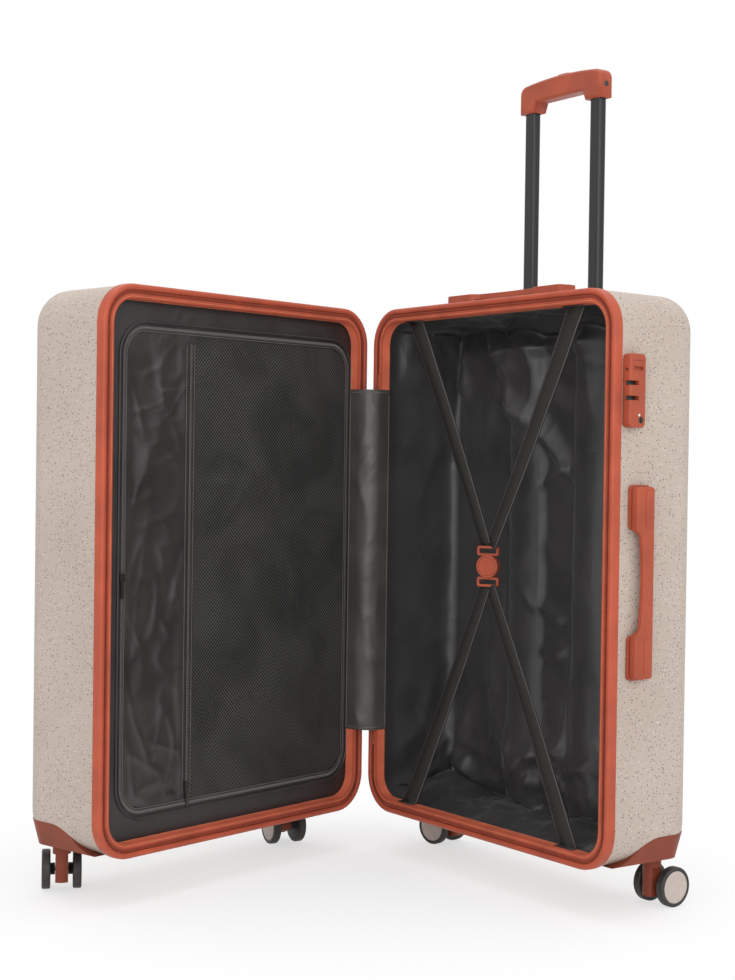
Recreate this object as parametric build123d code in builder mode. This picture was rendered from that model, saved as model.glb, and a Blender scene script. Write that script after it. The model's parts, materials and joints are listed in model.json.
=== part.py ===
from build123d import *
import os
from math import cos, radians, sin, tan

# Hard shell suitcase on four twin-wheel casters, standing open like a book.
# The pieces are drawn on the closed case: X across it, the hinge at -X, Y through its depth with
# the main half at +Y and the lid at -Y, Z up from the floor. The lid's pieces are then swung open
# about the hinge, and the whole case is shifted so that its footprint is centred on the origin.

# Case
CASE_WIDTH = 490.0
CASE_HEIGHT = 700.0
HALF_DEPTH = 151.0
FLOOR_GAP = 60.0
CORNER_R = 48.0
BACK_R = 36.0
DRAFT = 0.8
WALL = 2.8
OPEN_ANGLE = 75.0
HINGE_GAP = 6.0
FIT = 0.3

# Rim: welt round the shell's edge, zip chain beside it, and the tape that turns into the case
ZIP_CLEAR = 0.3
ZIP_HALF = 3.0
ZIP_WIDTH = 3.2
ZIP_INSET = 7.0
TAPE_WIDTH = 17.0
TAPE_THICK = 2.0
TURN_DEPTH = 18.0
TURN_THICK = 1.5
WELT = 1.4
WELT_FRONT = 0.8
WELT_SKIRT = 9.0
SLIDER_WIDTH = 2.4
SLIDER_LENGTH = 14.0
SLIDER_THICK = 1.6
SLIDER_PULL = 22.0

# Lining and the channels it makes over the trolley tubes
LINING_GAP = 4.7
LINING = 1.0
LINING_BACK = 8.0

# Back panel's pressed channels
CHANNEL_COUNT = 5
CHANNEL_PITCH = 72.0
CHANNEL_WIDTH = 12.0
CHANNEL_LENGTH = 480.0
CHANNEL_DEPTH = 1.0

# Hinge gusset
GUSSET_LENGTH = 480.0
GUSSET_THICK = 1.0
GUSSET_BULGE = 3.0

# Trolley
TUBE_SPACING = 130.0
TUBE_X = 20.0
TUBE_Y = 13.0
TUBE_R = 4.0
TUBE_WALL = 1.2
OUTER_TUBE_GROW = 2.0
TUBE_BACK_GAP = 15.0
TROLLEY_TRAVEL = 267.0
INNER_TUBE_LENGTH = 600.0
GRIP_COLLAR_X = 30.0
GRIP_DEPTH = 24.0
GRIP_COLLAR_H = 13.0
GRIP_END_H = 36.0
GRIP_CROWN = 6.0
GRIP_SOCKET = 10.0
GRIP_ROUND = 12.0
GRIP_SWEEP = 78.0
GRIP_SOFT = 4.5
PLUG_LENGTH = 14.0
BAR_THICK = 5.0
ROD_R = 2.5
BUTTON_LENGTH = 26.0
BUTTON_WIDTH = 13.0
BUTTON_TRAVEL = 4.0
BEZEL_LENGTH = 196.0
BEZEL_PROUD = 1.5
BEZEL_DEEP = 24.0
BEZEL_WIDTH = 23.0
BEZEL_R = 8.0

# Carry handles
HANDLE_LENGTH = 230.0
HANDLE_WIDTH = 29.0
HANDLE_PAD = 50.0
HANDLE_BASE = 4.0
HANDLE_THICK = 10.0
HANDLE_SETBACK = 44.0
HANDLE_WAIST = 9.0
HANDLE_R = 5.0
HANDLE_RUN = 10.0
FINGER_RELIEF = 3.0
BRACKET_MARGIN = 2.0
HANDLE_LIFT = 9.0
STUD_R = 4.0
STUD_LENGTH = HANDLE_LIFT + 1.0
SIDE_HANDLE_DROP = 2.0

# Lock
LOCK_DROP = 123.0
LOCK_HEIGHT = 88.0
LOCK_FRONT = 16.0
LOCK_WIDTH = 26.0
LOCK_PROUD = 13.0
DIAL_R = 5.5
DIAL_THICK = 7.0
DIAL_PITCH = 17.0
DIAL_PROUD = 1.5
LOCK_SLOT = 5.3
LOCK_SLOT_PITCH = 18.0
LOCK_SLOT_LENGTH = 14.0
LOCK_SLOT_DEEP = 8.0
KEY_R = 4.0
KEY_SLOT = (1.2, 5.0, 4.0)
LOCK_FLOOR = 3.0
RELEASE_WIDTH = 15.0
RELEASE_HEIGHT = 8.0
RELEASE_TRAVEL = 4.0
RELEASE_DEEP = 3.0
DIAL_PIN_R = 1.5

# Cross straps and buckle
STRAP_WIDTH = 24.0
STRAP_THICK = 1.2
STRAP_DEPTH = 15.0
STRAP_SPREAD = 162.0
BUCKLE_RISE = 4.0
BUCKLE_TWIST = 28.0
BUCKLE_R = 15.0
BUCKLE_THICK = 11.0
RING_WIDTH = 30.0
RING_HEIGHT = 12.5
RING_THICK = 4.0
RING_BAR = 3.0
TONGUE_WIDTH = 15.0
TONGUE_THICK = 2.8
TONGUE_LENGTH = 19.0

# Divider
DIVIDER_THICK = 1.6
DOOR_SIDE = 43.0
DOOR_ENDS = 46.0
DOOR_HINGE = 20.0
DOOR_R = 38.0
DOOR_HEM = 9.0
POCKET_ZIP_X = 85.0
DOOR_ZIP_WIDTH = 6.0
DOOR_ZIP_THICK = 1.3
DOOR_PULL_DROP = 8.0
DOOR_SLIDER = (8.0, 11.0, 1.4)
DOOR_PULL = (24.0, 5.0, 1.0)

# Casters
CASTER_INSET = 43.0
CASTER_DEPTH = 120.0
HOUSING_RISE = 36.0
HOUSING_FLOOR = 4.0
HOUSING_TOE = 22.0
HOUSING_FLAT = 95.0
HOUSING_SIDE_TOE = 122.0
HOUSING_SIDE_FLAT = 66.0
HOUSING_INSET = 0.8
HOUSING_WALL = 3.0
HOUSING_SIDE_INSET = 4.0
HOUSING_BACK_INSET = 1.5
HOUSING_R = 30.0
HOUSING_TAPER = 14.0
BOSS_R = 15.0
BOSS_HEIGHT = 28.0
STEM_R = 5.0
STEM_LENGTH = 22.0
COLLAR_R = 11.5
COLLAR_HEIGHT = 15.0
FORK_THICK = 16.0
FORK_CLEAR_Z = 13.0
TRAIL = 17.0
WHEEL_R = 25.0
WHEEL_WIDTH = 11.0
WHEEL_CENTRE = 19.5
HUB_R = 7.5
AXLE_R = 3.0
RUNNING = 0.05
CAP_R = 20.0
CAP_THICK = 1.6

# Places worked out from the sizes
MID_Z = FLOOR_GAP + CASE_HEIGHT / 2
TOP_Z = FLOOR_GAP + CASE_HEIGHT
HALF_W = CASE_WIDTH / 2
SIDE_HANDLE_Z = MID_Z - SIDE_HANDLE_DROP
LOCK_Z = TOP_Z - LOCK_DROP
BUCKLE_Z = MID_Z + BUCKLE_RISE
DOOR_PULL_Z = MID_Z - DOOR_PULL_DROP
EDGE_Y = ZIP_HALF + TAPE_THICK
HINGE_X = -HALF_W - HINGE_GAP
HINGE_AXIS = Axis((HINGE_X, 0, 0), (0, 0, 1))
TUBE_DEPTH = HALF_DEPTH - TUBE_BACK_GAP
TUBE_PLACES = [(-TUBE_SPACING / 2, TUBE_DEPTH), (TUBE_SPACING / 2, TUBE_DEPTH)]
GRIP_Z = TOP_Z + TROLLEY_TRAVEL
LINING_INSET = WALL + LINING_GAP
HOUSING_Z = FLOOR_GAP + HOUSING_FLOOR
OUTER_TUBE_X = TUBE_X + 2 * OUTER_TUBE_GROW
OUTER_TUBE_Y = TUBE_Y + 2 * OUTER_TUBE_GROW


def facing(y):
    """Plane across the case at depth y, looking into the main half: local x is X, local y is Z."""
    return Plane(origin=(0, y, MID_Z), x_dir=(1, 0, 0), z_dir=(0, -1, 0))


def outline(inset):
    """The case's rounded front outline, moved inwards by inset."""
    return RectangleRounded(CASE_WIDTH - 2 * inset, CASE_HEIGHT - 2 * inset, CORNER_R - inset)


def ring(front, back, outer, inner):
    """Flat ring along the rim, from depth front to depth back, between two insets."""
    with BuildPart() as band:
        with BuildSketch(facing(front)):
            outline(outer)
            RectangleRounded(CASE_WIDTH - 2 * inner, CASE_HEIGHT - 2 * inner,
                             CORNER_R - inner, mode=Mode.SUBTRACT)
        extrude(amount=front - back)
    return band.part


def tub(inset, front, back):
    """Drawn half of the case with tapered walls and a rounded back edge, inset from the outer face."""
    narrowing = 2 * inset + 2 * (front - EDGE_Y) * tan(radians(DRAFT))
    with BuildPart() as form:
        with BuildSketch(Plane(origin=(0, front, MID_Z), x_dir=(-1, 0, 0), z_dir=(0, 1, 0))):
            RectangleRounded(CASE_WIDTH - narrowing, CASE_HEIGHT - narrowing, CORNER_R - inset)
        extrude(amount=back - front, taper=DRAFT)
        fillet(form.faces().sort_by(Axis.Y)[-1].edges(), BACK_R - inset)
    return form.part


def s_block(plane, toe, flat, rise, length):
    """Prism under an S line that is level at rise up to flat and comes down in two arcs at toe."""
    low = -FLOOR_GAP / 2
    end = 2 * flat - toe if flat > toe else 2 * flat - toe - HALF_DEPTH
    middle = ((toe + flat) / 2, (rise + HOUSING_FLOOR) / 2)
    way = -1 if flat > toe else 1
    with BuildPart() as block:
        with BuildSketch(plane):
            with BuildLine():
                Polyline((toe, HOUSING_FLOOR), (toe, low), (end, low), (end, rise), (flat, rise))
                TangentArc((flat, rise), middle, tangent=(way, 0))
                TangentArc((toe, HOUSING_FLOOR), middle, tangent=(-way, 0))
            make_face()
        extrude(amount=length, both=True)
    return block.part


def corner_zone(rise, toe_shift):
    """Space at the main half's lower free corner under the S line, seen from the side and the back."""
    side_view = Plane(origin=(0, 0, FLOOR_GAP), x_dir=(0, 1, 0), z_dir=(1, 0, 0))
    back_view = Plane(origin=(HALF_W, 0, FLOOR_GAP), x_dir=(-1, 0, 0), z_dir=(0, 1, 0))
    side = s_block(side_view, HOUSING_TOE + toe_shift, HOUSING_FLAT, rise, CASE_WIDTH)
    back = s_block(back_view, HOUSING_SIDE_TOE - toe_shift, HOUSING_SIDE_FLAT, rise, HALF_DEPTH * 2)
    return side & back


def corner_form():
    """Outer form of the caster corners: squarer than the shell and drawn in towards the floor."""
    with BuildPart() as form:
        with BuildSketch(Plane.XY.offset(FLOOR_GAP + HOUSING_RISE)):
            RectangleRounded(CASE_WIDTH - 2 * HOUSING_SIDE_INSET, 2 * (HALF_DEPTH - HOUSING_BACK_INSET), HOUSING_R)
        extrude(amount=HOUSING_FLOOR - HOUSING_RISE, taper=HOUSING_TAPER)
    return form.part


def caster_housing():
    """Moulded corner piece under the shell: a cup with a bored boss for the caster's stem."""
    with BuildPart() as hollow:
        add(tub(HOUSING_INSET + HOUSING_WALL, EDGE_Y, HALF_DEPTH - HOUSING_INSET - HOUSING_WALL))
        with BuildSketch(Plane.XY.offset(HOUSING_Z + HOUSING_WALL)):
            Rectangle(2 * CASE_WIDTH, 4 * HALF_DEPTH)
        extrude(amount=CASE_HEIGHT, mode=Mode.INTERSECT)
    with BuildPart() as housing:
        add(corner_form())
        add(corner_zone(HOUSING_RISE - FIT, FIT), mode=Mode.INTERSECT)
        add(hollow.part, mode=Mode.SUBTRACT)
        with BuildSketch(Plane.XY.offset(HOUSING_Z)):
            with Locations((HALF_W - CASTER_INSET, CASTER_DEPTH)):
                Circle(BOSS_R)
        extrude(amount=BOSS_HEIGHT)
        with BuildSketch(Plane.XY.offset(HOUSING_Z)):
            with Locations((HALF_W - CASTER_INSET, CASTER_DEPTH)):
                Circle(STEM_R + RUNNING)
        extrude(amount=STEM_LENGTH + FIT, mode=Mode.SUBTRACT)
    return housing.part


def lining_form(inset, blocker_grow, with_channels):
    """Inside or outside face of the lining, as a solid: a tub with the trolley and corner bulges cut in."""
    grow = blocker_grow
    back = HALF_DEPTH - LINING_BACK - grow
    with BuildPart() as form:
        add(tub(inset, EDGE_Y + FIT, back))
        corner = 2 * (CASTER_INSET + BOSS_R + 3 + grow)
        depth = HALF_DEPTH - CASTER_DEPTH + BOSS_R + 3 + grow
        height = HOUSING_FLOOR + BOSS_HEIGHT + 2 + grow
        with BuildSketch(Plane.XY.offset(FLOOR_GAP)):
            with Locations((-HALF_W, HALF_DEPTH), (HALF_W, HALF_DEPTH)):
                Rectangle(corner, 2 * depth)
        extrude(amount=height, mode=Mode.SUBTRACT)
        if with_channels:
            with BuildSketch(Plane.XY.offset(FLOOR_GAP)):
                for x, y in TUBE_PLACES:
                    with Locations((x, HALF_DEPTH)):
                        Trapezoid(2 * (OUTER_TUBE_X + grow), HALF_DEPTH - y + OUTER_TUBE_Y / 2 + 2 + grow, 60,
                                  align=(Align.CENTER, Align.MIN), rotation=180)
            extrude(amount=CASE_HEIGHT, mode=Mode.SUBTRACT)
            with BuildSketch(Plane.XY.offset(TOP_Z - BEZEL_DEEP - 2 - grow)):
                with Locations((0, HALF_DEPTH)):
                    Rectangle(BEZEL_LENGTH + 6 + 2 * grow, 2 * (TUBE_BACK_GAP + OUTER_TUBE_Y / 2 + 5 + grow))
            extrude(amount=2 * BEZEL_DEEP, mode=Mode.SUBTRACT)
    return form.part


def lining(with_channels):
    """Cloth lining of one half, hung inside the shell from the rim's tape."""
    outside = lining_form(LINING_INSET, 0, with_channels)
    inside = lining_form(LINING_INSET + LINING, LINING, with_channels)
    with BuildPart() as cloth:
        add(outside)
        add(inside, mode=Mode.SUBTRACT)
    return cloth.part


pieces = {}


def keep(name, part):
    """Labels a finished piece and files it under its name."""
    part.label = name
    pieces[name] = part


# Shells of the two halves, with the caster corners cut away
zone = corner_zone(HOUSING_RISE, 0)
zones = [zone, mirror(zone, about=Plane.YZ)]
with BuildPart() as half_shell:
    add(tub(0, EDGE_Y, HALF_DEPTH))
    add(tub(WALL, EDGE_Y, HALF_DEPTH - WALL), mode=Mode.SUBTRACT)
    add(zones, mode=Mode.SUBTRACT)
    with BuildSketch(facing(HALF_DEPTH)):
        with GridLocations(CHANNEL_PITCH, 0, CHANNEL_COUNT, 1):
            SlotOverall(CHANNEL_LENGTH, CHANNEL_WIDTH, rotation=90)
    extrude(amount=CHANNEL_DEPTH, mode=Mode.SUBTRACT)
keep("lid_shell", mirror(half_shell.part, about=Plane.XZ))

# Bezel round the two trolley tubes, let into the main shell's top edge at the back
with BuildPart() as bezel_block:
    with BuildSketch(Plane.XY.offset(TOP_Z - BEZEL_DEEP)):
        with Locations((0, TUBE_DEPTH)):
            RectangleRounded(BEZEL_LENGTH, BEZEL_WIDTH, BEZEL_R)
    extrude(amount=BEZEL_DEEP + 2 * BEZEL_PROUD)
with BuildPart() as trolley_bezel:
    add(tub(-BEZEL_PROUD, EDGE_Y, HALF_DEPTH + BEZEL_PROUD))
    add(bezel_block.part, mode=Mode.INTERSECT)
    with BuildSketch(Plane.XY.offset(TOP_Z - BEZEL_DEEP)):
        with Locations(*TUBE_PLACES):
            RectangleRounded(TUBE_X + 2 * FIT, TUBE_Y + 2 * FIT, TUBE_R + FIT)
    extrude(amount=BEZEL_DEEP + 2 * BEZEL_PROUD, mode=Mode.SUBTRACT)
keep("trolley_bezel", trolley_bezel.part)

# Main shell: as the lid's, with the bezel's cut-out and the bores of the carry handles' studs
stud_offset = HANDLE_LENGTH / 2 - HANDLE_PAD / 2
with BuildPart() as main_shell:
    add(half_shell.part)
    with BuildSketch(Plane.XY.offset(TOP_Z - BEZEL_DEEP)):
        with Locations((0, TUBE_DEPTH)):
            RectangleRounded(BEZEL_LENGTH + 2 * FIT, BEZEL_WIDTH + 2 * FIT, BEZEL_R + FIT)
    extrude(amount=2 * BEZEL_DEEP, mode=Mode.SUBTRACT)
    with BuildSketch(Plane.XY.offset(TOP_Z - 3 * WALL)):
        with Locations((-stud_offset, HANDLE_SETBACK), (stud_offset, HANDLE_SETBACK)):
            Circle(STUD_R + FIT)
    extrude(amount=6 * WALL, mode=Mode.SUBTRACT)
    with BuildSketch(Plane(origin=(HALF_W - 3 * WALL, 0, SIDE_HANDLE_Z), x_dir=(0, 1, 0), z_dir=(1, 0, 0))):
        with Locations((HANDLE_SETBACK, -stud_offset), (HANDLE_SETBACK, stud_offset)):
            Circle(STUD_R + FIT)
    extrude(amount=6 * WALL, mode=Mode.SUBTRACT)
keep("main_shell", main_shell.part)

# Caster housings, two to a half
housing = caster_housing()
with BuildPart() as main_caster_housings:
    add(housing)
    add(mirror(housing, about=Plane.YZ))
keep("main_caster_housings", main_caster_housings.part)
keep("lid_caster_housings", mirror(main_caster_housings.part, about=Plane.XZ))

# Linings: the main half's rises over the trolley tubes
keep("main_lining", lining(True))
keep("lid_lining", mirror(lining(False), about=Plane.XZ))

# Rim trim: the welt and its skirt round the outside, and the sewn tape that turns into the case
with BuildPart() as edge_trim:
    add(ring(WELT_FRONT, ZIP_HALF, -WELT, ZIP_INSET - FIT))
    add(ring(ZIP_HALF, EDGE_Y, -WELT, TAPE_WIDTH))
    add(ring(EDGE_Y, TURN_DEPTH, TAPE_WIDTH - TURN_THICK, TAPE_WIDTH))
    add(ring(EDGE_Y, EDGE_Y + WELT_SKIRT, -WELT, -FIT))
keep("main_edge_trim", edge_trim.part)
keep("lid_edge_trim", mirror(edge_trim.part, about=Plane.XZ))

# Closing zip: each half carries one row, which stops at the gusset on the hinge side
with BuildPart() as zip_row:
    add(ring(ZIP_CLEAR, ZIP_HALF, ZIP_INSET, ZIP_INSET + ZIP_WIDTH))
    with BuildSketch(facing(0)):
        with Locations((-HALF_W, 0)):
            Rectangle(2 * TAPE_WIDTH, GUSSET_LENGTH)
    extrude(amount=-2 * ZIP_HALF, mode=Mode.SUBTRACT)
keep("main_zip", zip_row.part)
keep("lid_zip", mirror(zip_row.part, about=Plane.XZ))

# Zip sliders, parked where the closing zip stops above and below the gusset
def zip_slider(way):
    """Slider plate on the zip's inner edge with its pull lying along the tape."""
    face = -HALF_W + ZIP_INSET + ZIP_WIDTH + FIT
    slider_y = (ZIP_CLEAR + ZIP_HALF) / 2
    slider_z = GUSSET_LENGTH / 2 + SLIDER_LENGTH
    with BuildPart() as slider:
        with BuildSketch(Plane(origin=(face, 0, MID_Z), x_dir=(0, 1, 0), z_dir=(-1, 0, 0))):
            with Locations((slider_y, -way * slider_z)):
                RectangleRounded(SLIDER_WIDTH, SLIDER_LENGTH, SLIDER_WIDTH / 3)
            with Locations((slider_y, -way * (slider_z - SLIDER_LENGTH))):
                Rectangle(SLIDER_THICK, SLIDER_PULL)
        extrude(amount=-SLIDER_THICK)
    return slider.part


keep("zip_slider_top", zip_slider(1))
keep("zip_slider_bottom", zip_slider(-1))

# Hinge gusset: a cloth leaf sewn to the turned-in tapes of both halves, bowed in front of their rims
leaf_x = TAPE_WIDTH + FIT + HINGE_GAP
leaf_sewn = Vector(leaf_x, TURN_DEPTH - FIT)
leaf_turn = Vector(leaf_x, WELT_FRONT)
half_open = radians(OPEN_ANGLE / 2)
leaf_mid = leaf_turn.length * cos(half_open) + GUSSET_BULGE
lid_turn = Vector(leaf_turn.X, -leaf_turn.Y).rotate(Axis.Z, -OPEN_ANGLE)
lid_sewn = Vector(leaf_sewn.X, -leaf_sewn.Y).rotate(Axis.Z, -OPEN_ANGLE)
with BuildPart() as hinge_gusset:
    with BuildSketch(Plane(origin=(HINGE_X, 0, MID_Z - GUSSET_LENGTH / 2))):
        with BuildLine():
            Line(leaf_sewn, leaf_turn)
            ThreePointArc(leaf_turn, (leaf_mid * cos(half_open), -leaf_mid * sin(half_open)), lid_turn)
            Line(lid_turn, lid_sewn)
            offset(amount=GUSSET_THICK, side=Side.LEFT)
        make_face()
    extrude(amount=GUSSET_LENGTH)
keep("hinge_gusset", hinge_gusset.part)

# Trolley: fixed outer tubes on feet, sliding inner tubes with end plugs, push rods, grip and button
outer_low = FLOOR_GAP + WALL + BACK_R
outer_high = TOP_Z - BEZEL_DEEP
inner_high = GRIP_Z + GRIP_SOCKET
inner_low = inner_high - INNER_TUBE_LENGTH
bar_z = GRIP_Z + GRIP_COLLAR_H + 8


def tubes(low, high, size_x, size_y, radius, wall):
    """The pair of tubes from height low to high; a wall of 0 leaves them solid."""
    with BuildPart() as pair:
        with BuildSketch(Plane.XY.offset(low)):
            with Locations(*TUBE_PLACES):
                RectangleRounded(size_x, size_y, radius)
                if wall:
                    RectangleRounded(size_x - 2 * wall, size_y - 2 * wall, radius - wall, mode=Mode.SUBTRACT)
        extrude(amount=high - low)
    return pair.part


outer_r = TUBE_R + OUTER_TUBE_GROW
keep("trolley_outer_tubes", tubes(outer_low, outer_high, OUTER_TUBE_X, OUTER_TUBE_Y, outer_r, TUBE_WALL))
keep("trolley_inner_tubes", tubes(inner_low, inner_high, TUBE_X, TUBE_Y, TUBE_R, TUBE_WALL))
with BuildPart() as trolley_feet:
    add(tubes(FLOOR_GAP, outer_low, OUTER_TUBE_X, OUTER_TUBE_Y, outer_r, 0))
    add(tub(WALL + FIT, EDGE_Y, HALF_DEPTH - WALL - FIT), mode=Mode.INTERSECT)
keep("trolley_feet", trolley_feet.part)

plug_play = 2 * (TUBE_WALL + FIT / 2)
with BuildPart() as trolley_end_plugs:
    add(tubes(inner_low - PLUG_LENGTH, inner_low, OUTER_TUBE_X - plug_play, OUTER_TUBE_Y - plug_play,
              outer_r - TUBE_WALL, 0))
    with BuildSketch(Plane.XY.offset(inner_low - PLUG_LENGTH)):
        with Locations(*TUBE_PLACES):
            Circle(ROD_R + FIT)
    extrude(amount=PLUG_LENGTH, mode=Mode.SUBTRACT)
keep("trolley_end_plugs", trolley_end_plugs.part)

with BuildPart() as trolley_push_rods:
    with BuildSketch(Plane.XY.offset(inner_low - PLUG_LENGTH / 2)):
        with Locations(*TUBE_PLACES):
            Circle(ROD_R)
    extrude(amount=bar_z - inner_low + PLUG_LENGTH / 2)
    with BuildSketch(Plane.XY.offset(bar_z)):
        with Locations((0, TUBE_DEPTH)):
            SlotCenterToCenter(TUBE_SPACING, 2 * ROD_R + 1)
    extrude(amount=BAR_THICK)
keep("trolley_push_rods", trolley_push_rods.part)

grip_end = TUBE_SPACING / 2 + GRIP_COLLAR_X / 2
grip_inner = TUBE_SPACING / 2 - GRIP_COLLAR_X / 2
grip_shoulder = GRIP_END_H - GRIP_ROUND + 2
arc_x = grip_end - GRIP_ROUND + GRIP_ROUND * cos(radians(GRIP_SWEEP))
arc_z = grip_shoulder + GRIP_ROUND * sin(radians(GRIP_SWEEP))
with BuildPart() as trolley_grip:
    with BuildSketch(Plane(origin=(0, TUBE_DEPTH, GRIP_Z), x_dir=(1, 0, 0), z_dir=(0, -1, 0))):
        with BuildLine():
            Polyline((-grip_end, grip_shoulder), (-grip_end, 0), (-grip_inner, 0),
                     (-grip_inner + 5, GRIP_COLLAR_H), (grip_inner - 5, GRIP_COLLAR_H),
                     (grip_inner, 0), (grip_end, 0), (grip_end, grip_shoulder))
            JernArc((grip_end, grip_shoulder), (0, 1), GRIP_ROUND, GRIP_SWEEP)
            JernArc((-grip_end, grip_shoulder), (0, 1), GRIP_ROUND, -GRIP_SWEEP)
            ThreePointArc((arc_x, arc_z), (0, GRIP_END_H + GRIP_CROWN), (-arc_x, arc_z))
        make_face()
    extrude(amount=GRIP_DEPTH / 2, both=True)
    fillet(trolley_grip.faces().filter_by(Axis.Y).edges(), GRIP_SOFT)
    add(tubes(GRIP_Z, inner_high, TUBE_X + 2 * RUNNING, TUBE_Y + 2 * RUNNING, TUBE_R, 0), mode=Mode.SUBTRACT)
    with BuildSketch(Plane.XY.offset(bar_z - BUTTON_TRAVEL - 1)):
        with Locations((0, TUBE_DEPTH)):
            SlotCenterToCenter(TUBE_SPACING, 2 * (ROD_R + 1) + 1)
    extrude(amount=BAR_THICK + BUTTON_TRAVEL + 2, mode=Mode.SUBTRACT)
    with BuildSketch(Plane.XY.offset(GRIP_Z)):
        with Locations(*TUBE_PLACES):
            Circle(ROD_R + 1)
    extrude(amount=bar_z - GRIP_Z, mode=Mode.SUBTRACT)
    with BuildSketch(Plane.XY.offset(bar_z + BAR_THICK - BUTTON_TRAVEL - FIT)):
        with Locations((0, TUBE_DEPTH)):
            SlotOverall(BUTTON_LENGTH + 2 * FIT, BUTTON_WIDTH + 2 * FIT)
    extrude(amount=GRIP_END_H, mode=Mode.SUBTRACT)
keep("trolley_grip", trolley_grip.part)

with BuildPart() as grip_button:
    with BuildSketch(Plane.XY.offset(bar_z + BAR_THICK)):
        with Locations((0, TUBE_DEPTH)):
            SlotOverall(BUTTON_LENGTH, BUTTON_WIDTH)
    extrude(amount=GRIP_Z + GRIP_END_H + GRIP_CROWN + 2 - bar_z - BAR_THICK)
    fillet(grip_button.faces().sort_by(Axis.Z)[-1].edges(), 1.5)
keep("grip_button", grip_button.part)


# Carry handles: two bracket bases and a waisted handle whose studs slide in them
def carry_brackets(seat):
    """Pair of bases on the plane seat, with the studs' bores."""
    with BuildPart() as pair:
        with BuildSketch(seat):
            with Locations((-stud_offset, 0), (stud_offset, 0)):
                RectangleRounded(HANDLE_PAD + 2 * BRACKET_MARGIN, HANDLE_WIDTH + 2 * BRACKET_MARGIN,
                                 HANDLE_R + BRACKET_MARGIN / 2)
                Circle(STUD_R + RUNNING, mode=Mode.SUBTRACT)
        extrude(amount=HANDLE_BASE)
    return pair.part


def carry_handle(seat):
    """Handle bar over the bases, waisted on the rim side and relieved under the fingers."""
    under = seat.offset(HANDLE_BASE + FIT)
    half = HANDLE_LENGTH / 2 - HANDLE_PAD
    edge = -HANDLE_WIDTH / 2
    with BuildPart() as bar:
        with BuildSketch(under):
            RectangleRounded(HANDLE_LENGTH, HANDLE_WIDTH, HANDLE_R)
            with BuildLine():
                Polyline((half - HANDLE_RUN, edge + HANDLE_WAIST), (half, edge - 1),
                         (-half, edge - 1), (-half + HANDLE_RUN, edge + HANDLE_WAIST))
                ThreePointArc((-half + HANDLE_RUN, edge + HANDLE_WAIST), (0, edge + HANDLE_WAIST + 3),
                              (half - HANDLE_RUN, edge + HANDLE_WAIST))
            make_face(mode=Mode.SUBTRACT)
        extrude(amount=HANDLE_THICK)
        with BuildSketch(under):
            Rectangle(2 * half - HANDLE_RUN, 2 * HANDLE_WIDTH)
        extrude(amount=FINGER_RELIEF, mode=Mode.SUBTRACT)
        with BuildSketch(under):
            with Locations((-stud_offset, 0), (stud_offset, 0)):
                Circle(STUD_R)
        extrude(amount=-STUD_LENGTH)
    return bar.part


top_seat = Plane(origin=(0, HANDLE_SETBACK, TOP_Z), x_dir=(1, 0, 0), z_dir=(0, 0, 1))
side_seat = Plane(origin=(HALF_W, HANDLE_SETBACK, SIDE_HANDLE_Z), x_dir=(0, 0, -1), z_dir=(1, 0, 0))
keep("top_handle_brackets", carry_brackets(top_seat))
keep("top_handle", carry_handle(top_seat))
keep("side_handle_brackets", carry_brackets(side_seat))
keep("side_handle", carry_handle(side_seat))

# Combination lock on the free side wall: body, three thumb dials, release slide and key cylinder
dial_x = HALF_W + LOCK_PROUD / 2 + 0.4
dial_y = LOCK_FRONT + LOCK_WIDTH + DIAL_PROUD - DIAL_R
dial_low = [LOCK_Z + (i - 1) * DIAL_PITCH - DIAL_THICK / 2 for i in range(3)]
release_z = LOCK_Z + LOCK_HEIGHT / 2 - 12
key_y = LOCK_FRONT + LOCK_WIDTH - 8
key_z = LOCK_Z - LOCK_HEIGHT / 2 + 9
lock_seat = Plane(origin=(HALF_W, LOCK_FRONT, LOCK_Z), x_dir=(0, 1, 0), z_dir=(1, 0, 0))
lock_face = lock_seat.offset(LOCK_PROUD)
with BuildPart() as lock_body:
    with BuildSketch(lock_seat):
        with Locations((LOCK_WIDTH / 2, 0)):
            RectangleRounded(LOCK_WIDTH, LOCK_HEIGHT, 6)
    extrude(amount=LOCK_PROUD)
    fillet(lock_body.faces().sort_by(Axis.X)[-1].edges(), 2.5)
    with BuildSketch(lock_face):
        with Locations((0, -LOCK_SLOT_PITCH / 2), (0, LOCK_SLOT_PITCH / 2)):
            Rectangle(2 * LOCK_SLOT_LENGTH, LOCK_SLOT)
    extrude(amount=-LOCK_SLOT_DEEP, mode=Mode.SUBTRACT)
    for low in dial_low:
        with BuildSketch(Plane.XY.offset(low - FIT)):
            with Locations((dial_x, dial_y)):
                Circle(DIAL_R + FIT)
        extrude(amount=DIAL_THICK + 2 * FIT, mode=Mode.SUBTRACT)
    with BuildSketch(Plane.XY.offset(dial_low[0] - 2)):
        with Locations((dial_x, dial_y)):
            Circle(DIAL_PIN_R)
    extrude(amount=dial_low[2] - dial_low[0] + DIAL_THICK + 4)
    with BuildSketch(lock_face):
        with Locations((LOCK_WIDTH / 2, release_z - LOCK_Z - RELEASE_TRAVEL / 2)):
            RectangleRounded(RELEASE_WIDTH, RELEASE_HEIGHT + RELEASE_TRAVEL, 2)
    extrude(amount=-RELEASE_DEEP, mode=Mode.SUBTRACT)
    with BuildSketch(lock_face):
        with Locations((key_y - LOCK_FRONT, key_z - LOCK_Z)):
            Circle(KEY_R + RUNNING)
    extrude(amount=LOCK_FLOOR - LOCK_PROUD, mode=Mode.SUBTRACT)
keep("lock_body", lock_body.part)

for number, low in enumerate(dial_low, 1):
    with BuildPart() as dial:
        with BuildSketch(Plane.XY.offset(low)):
            with Locations((dial_x, dial_y)):
                Circle(DIAL_R)
                Circle(DIAL_PIN_R + RUNNING, mode=Mode.SUBTRACT)
        extrude(amount=DIAL_THICK)
    keep(f"lock_dial_{number}", dial.part)

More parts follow.
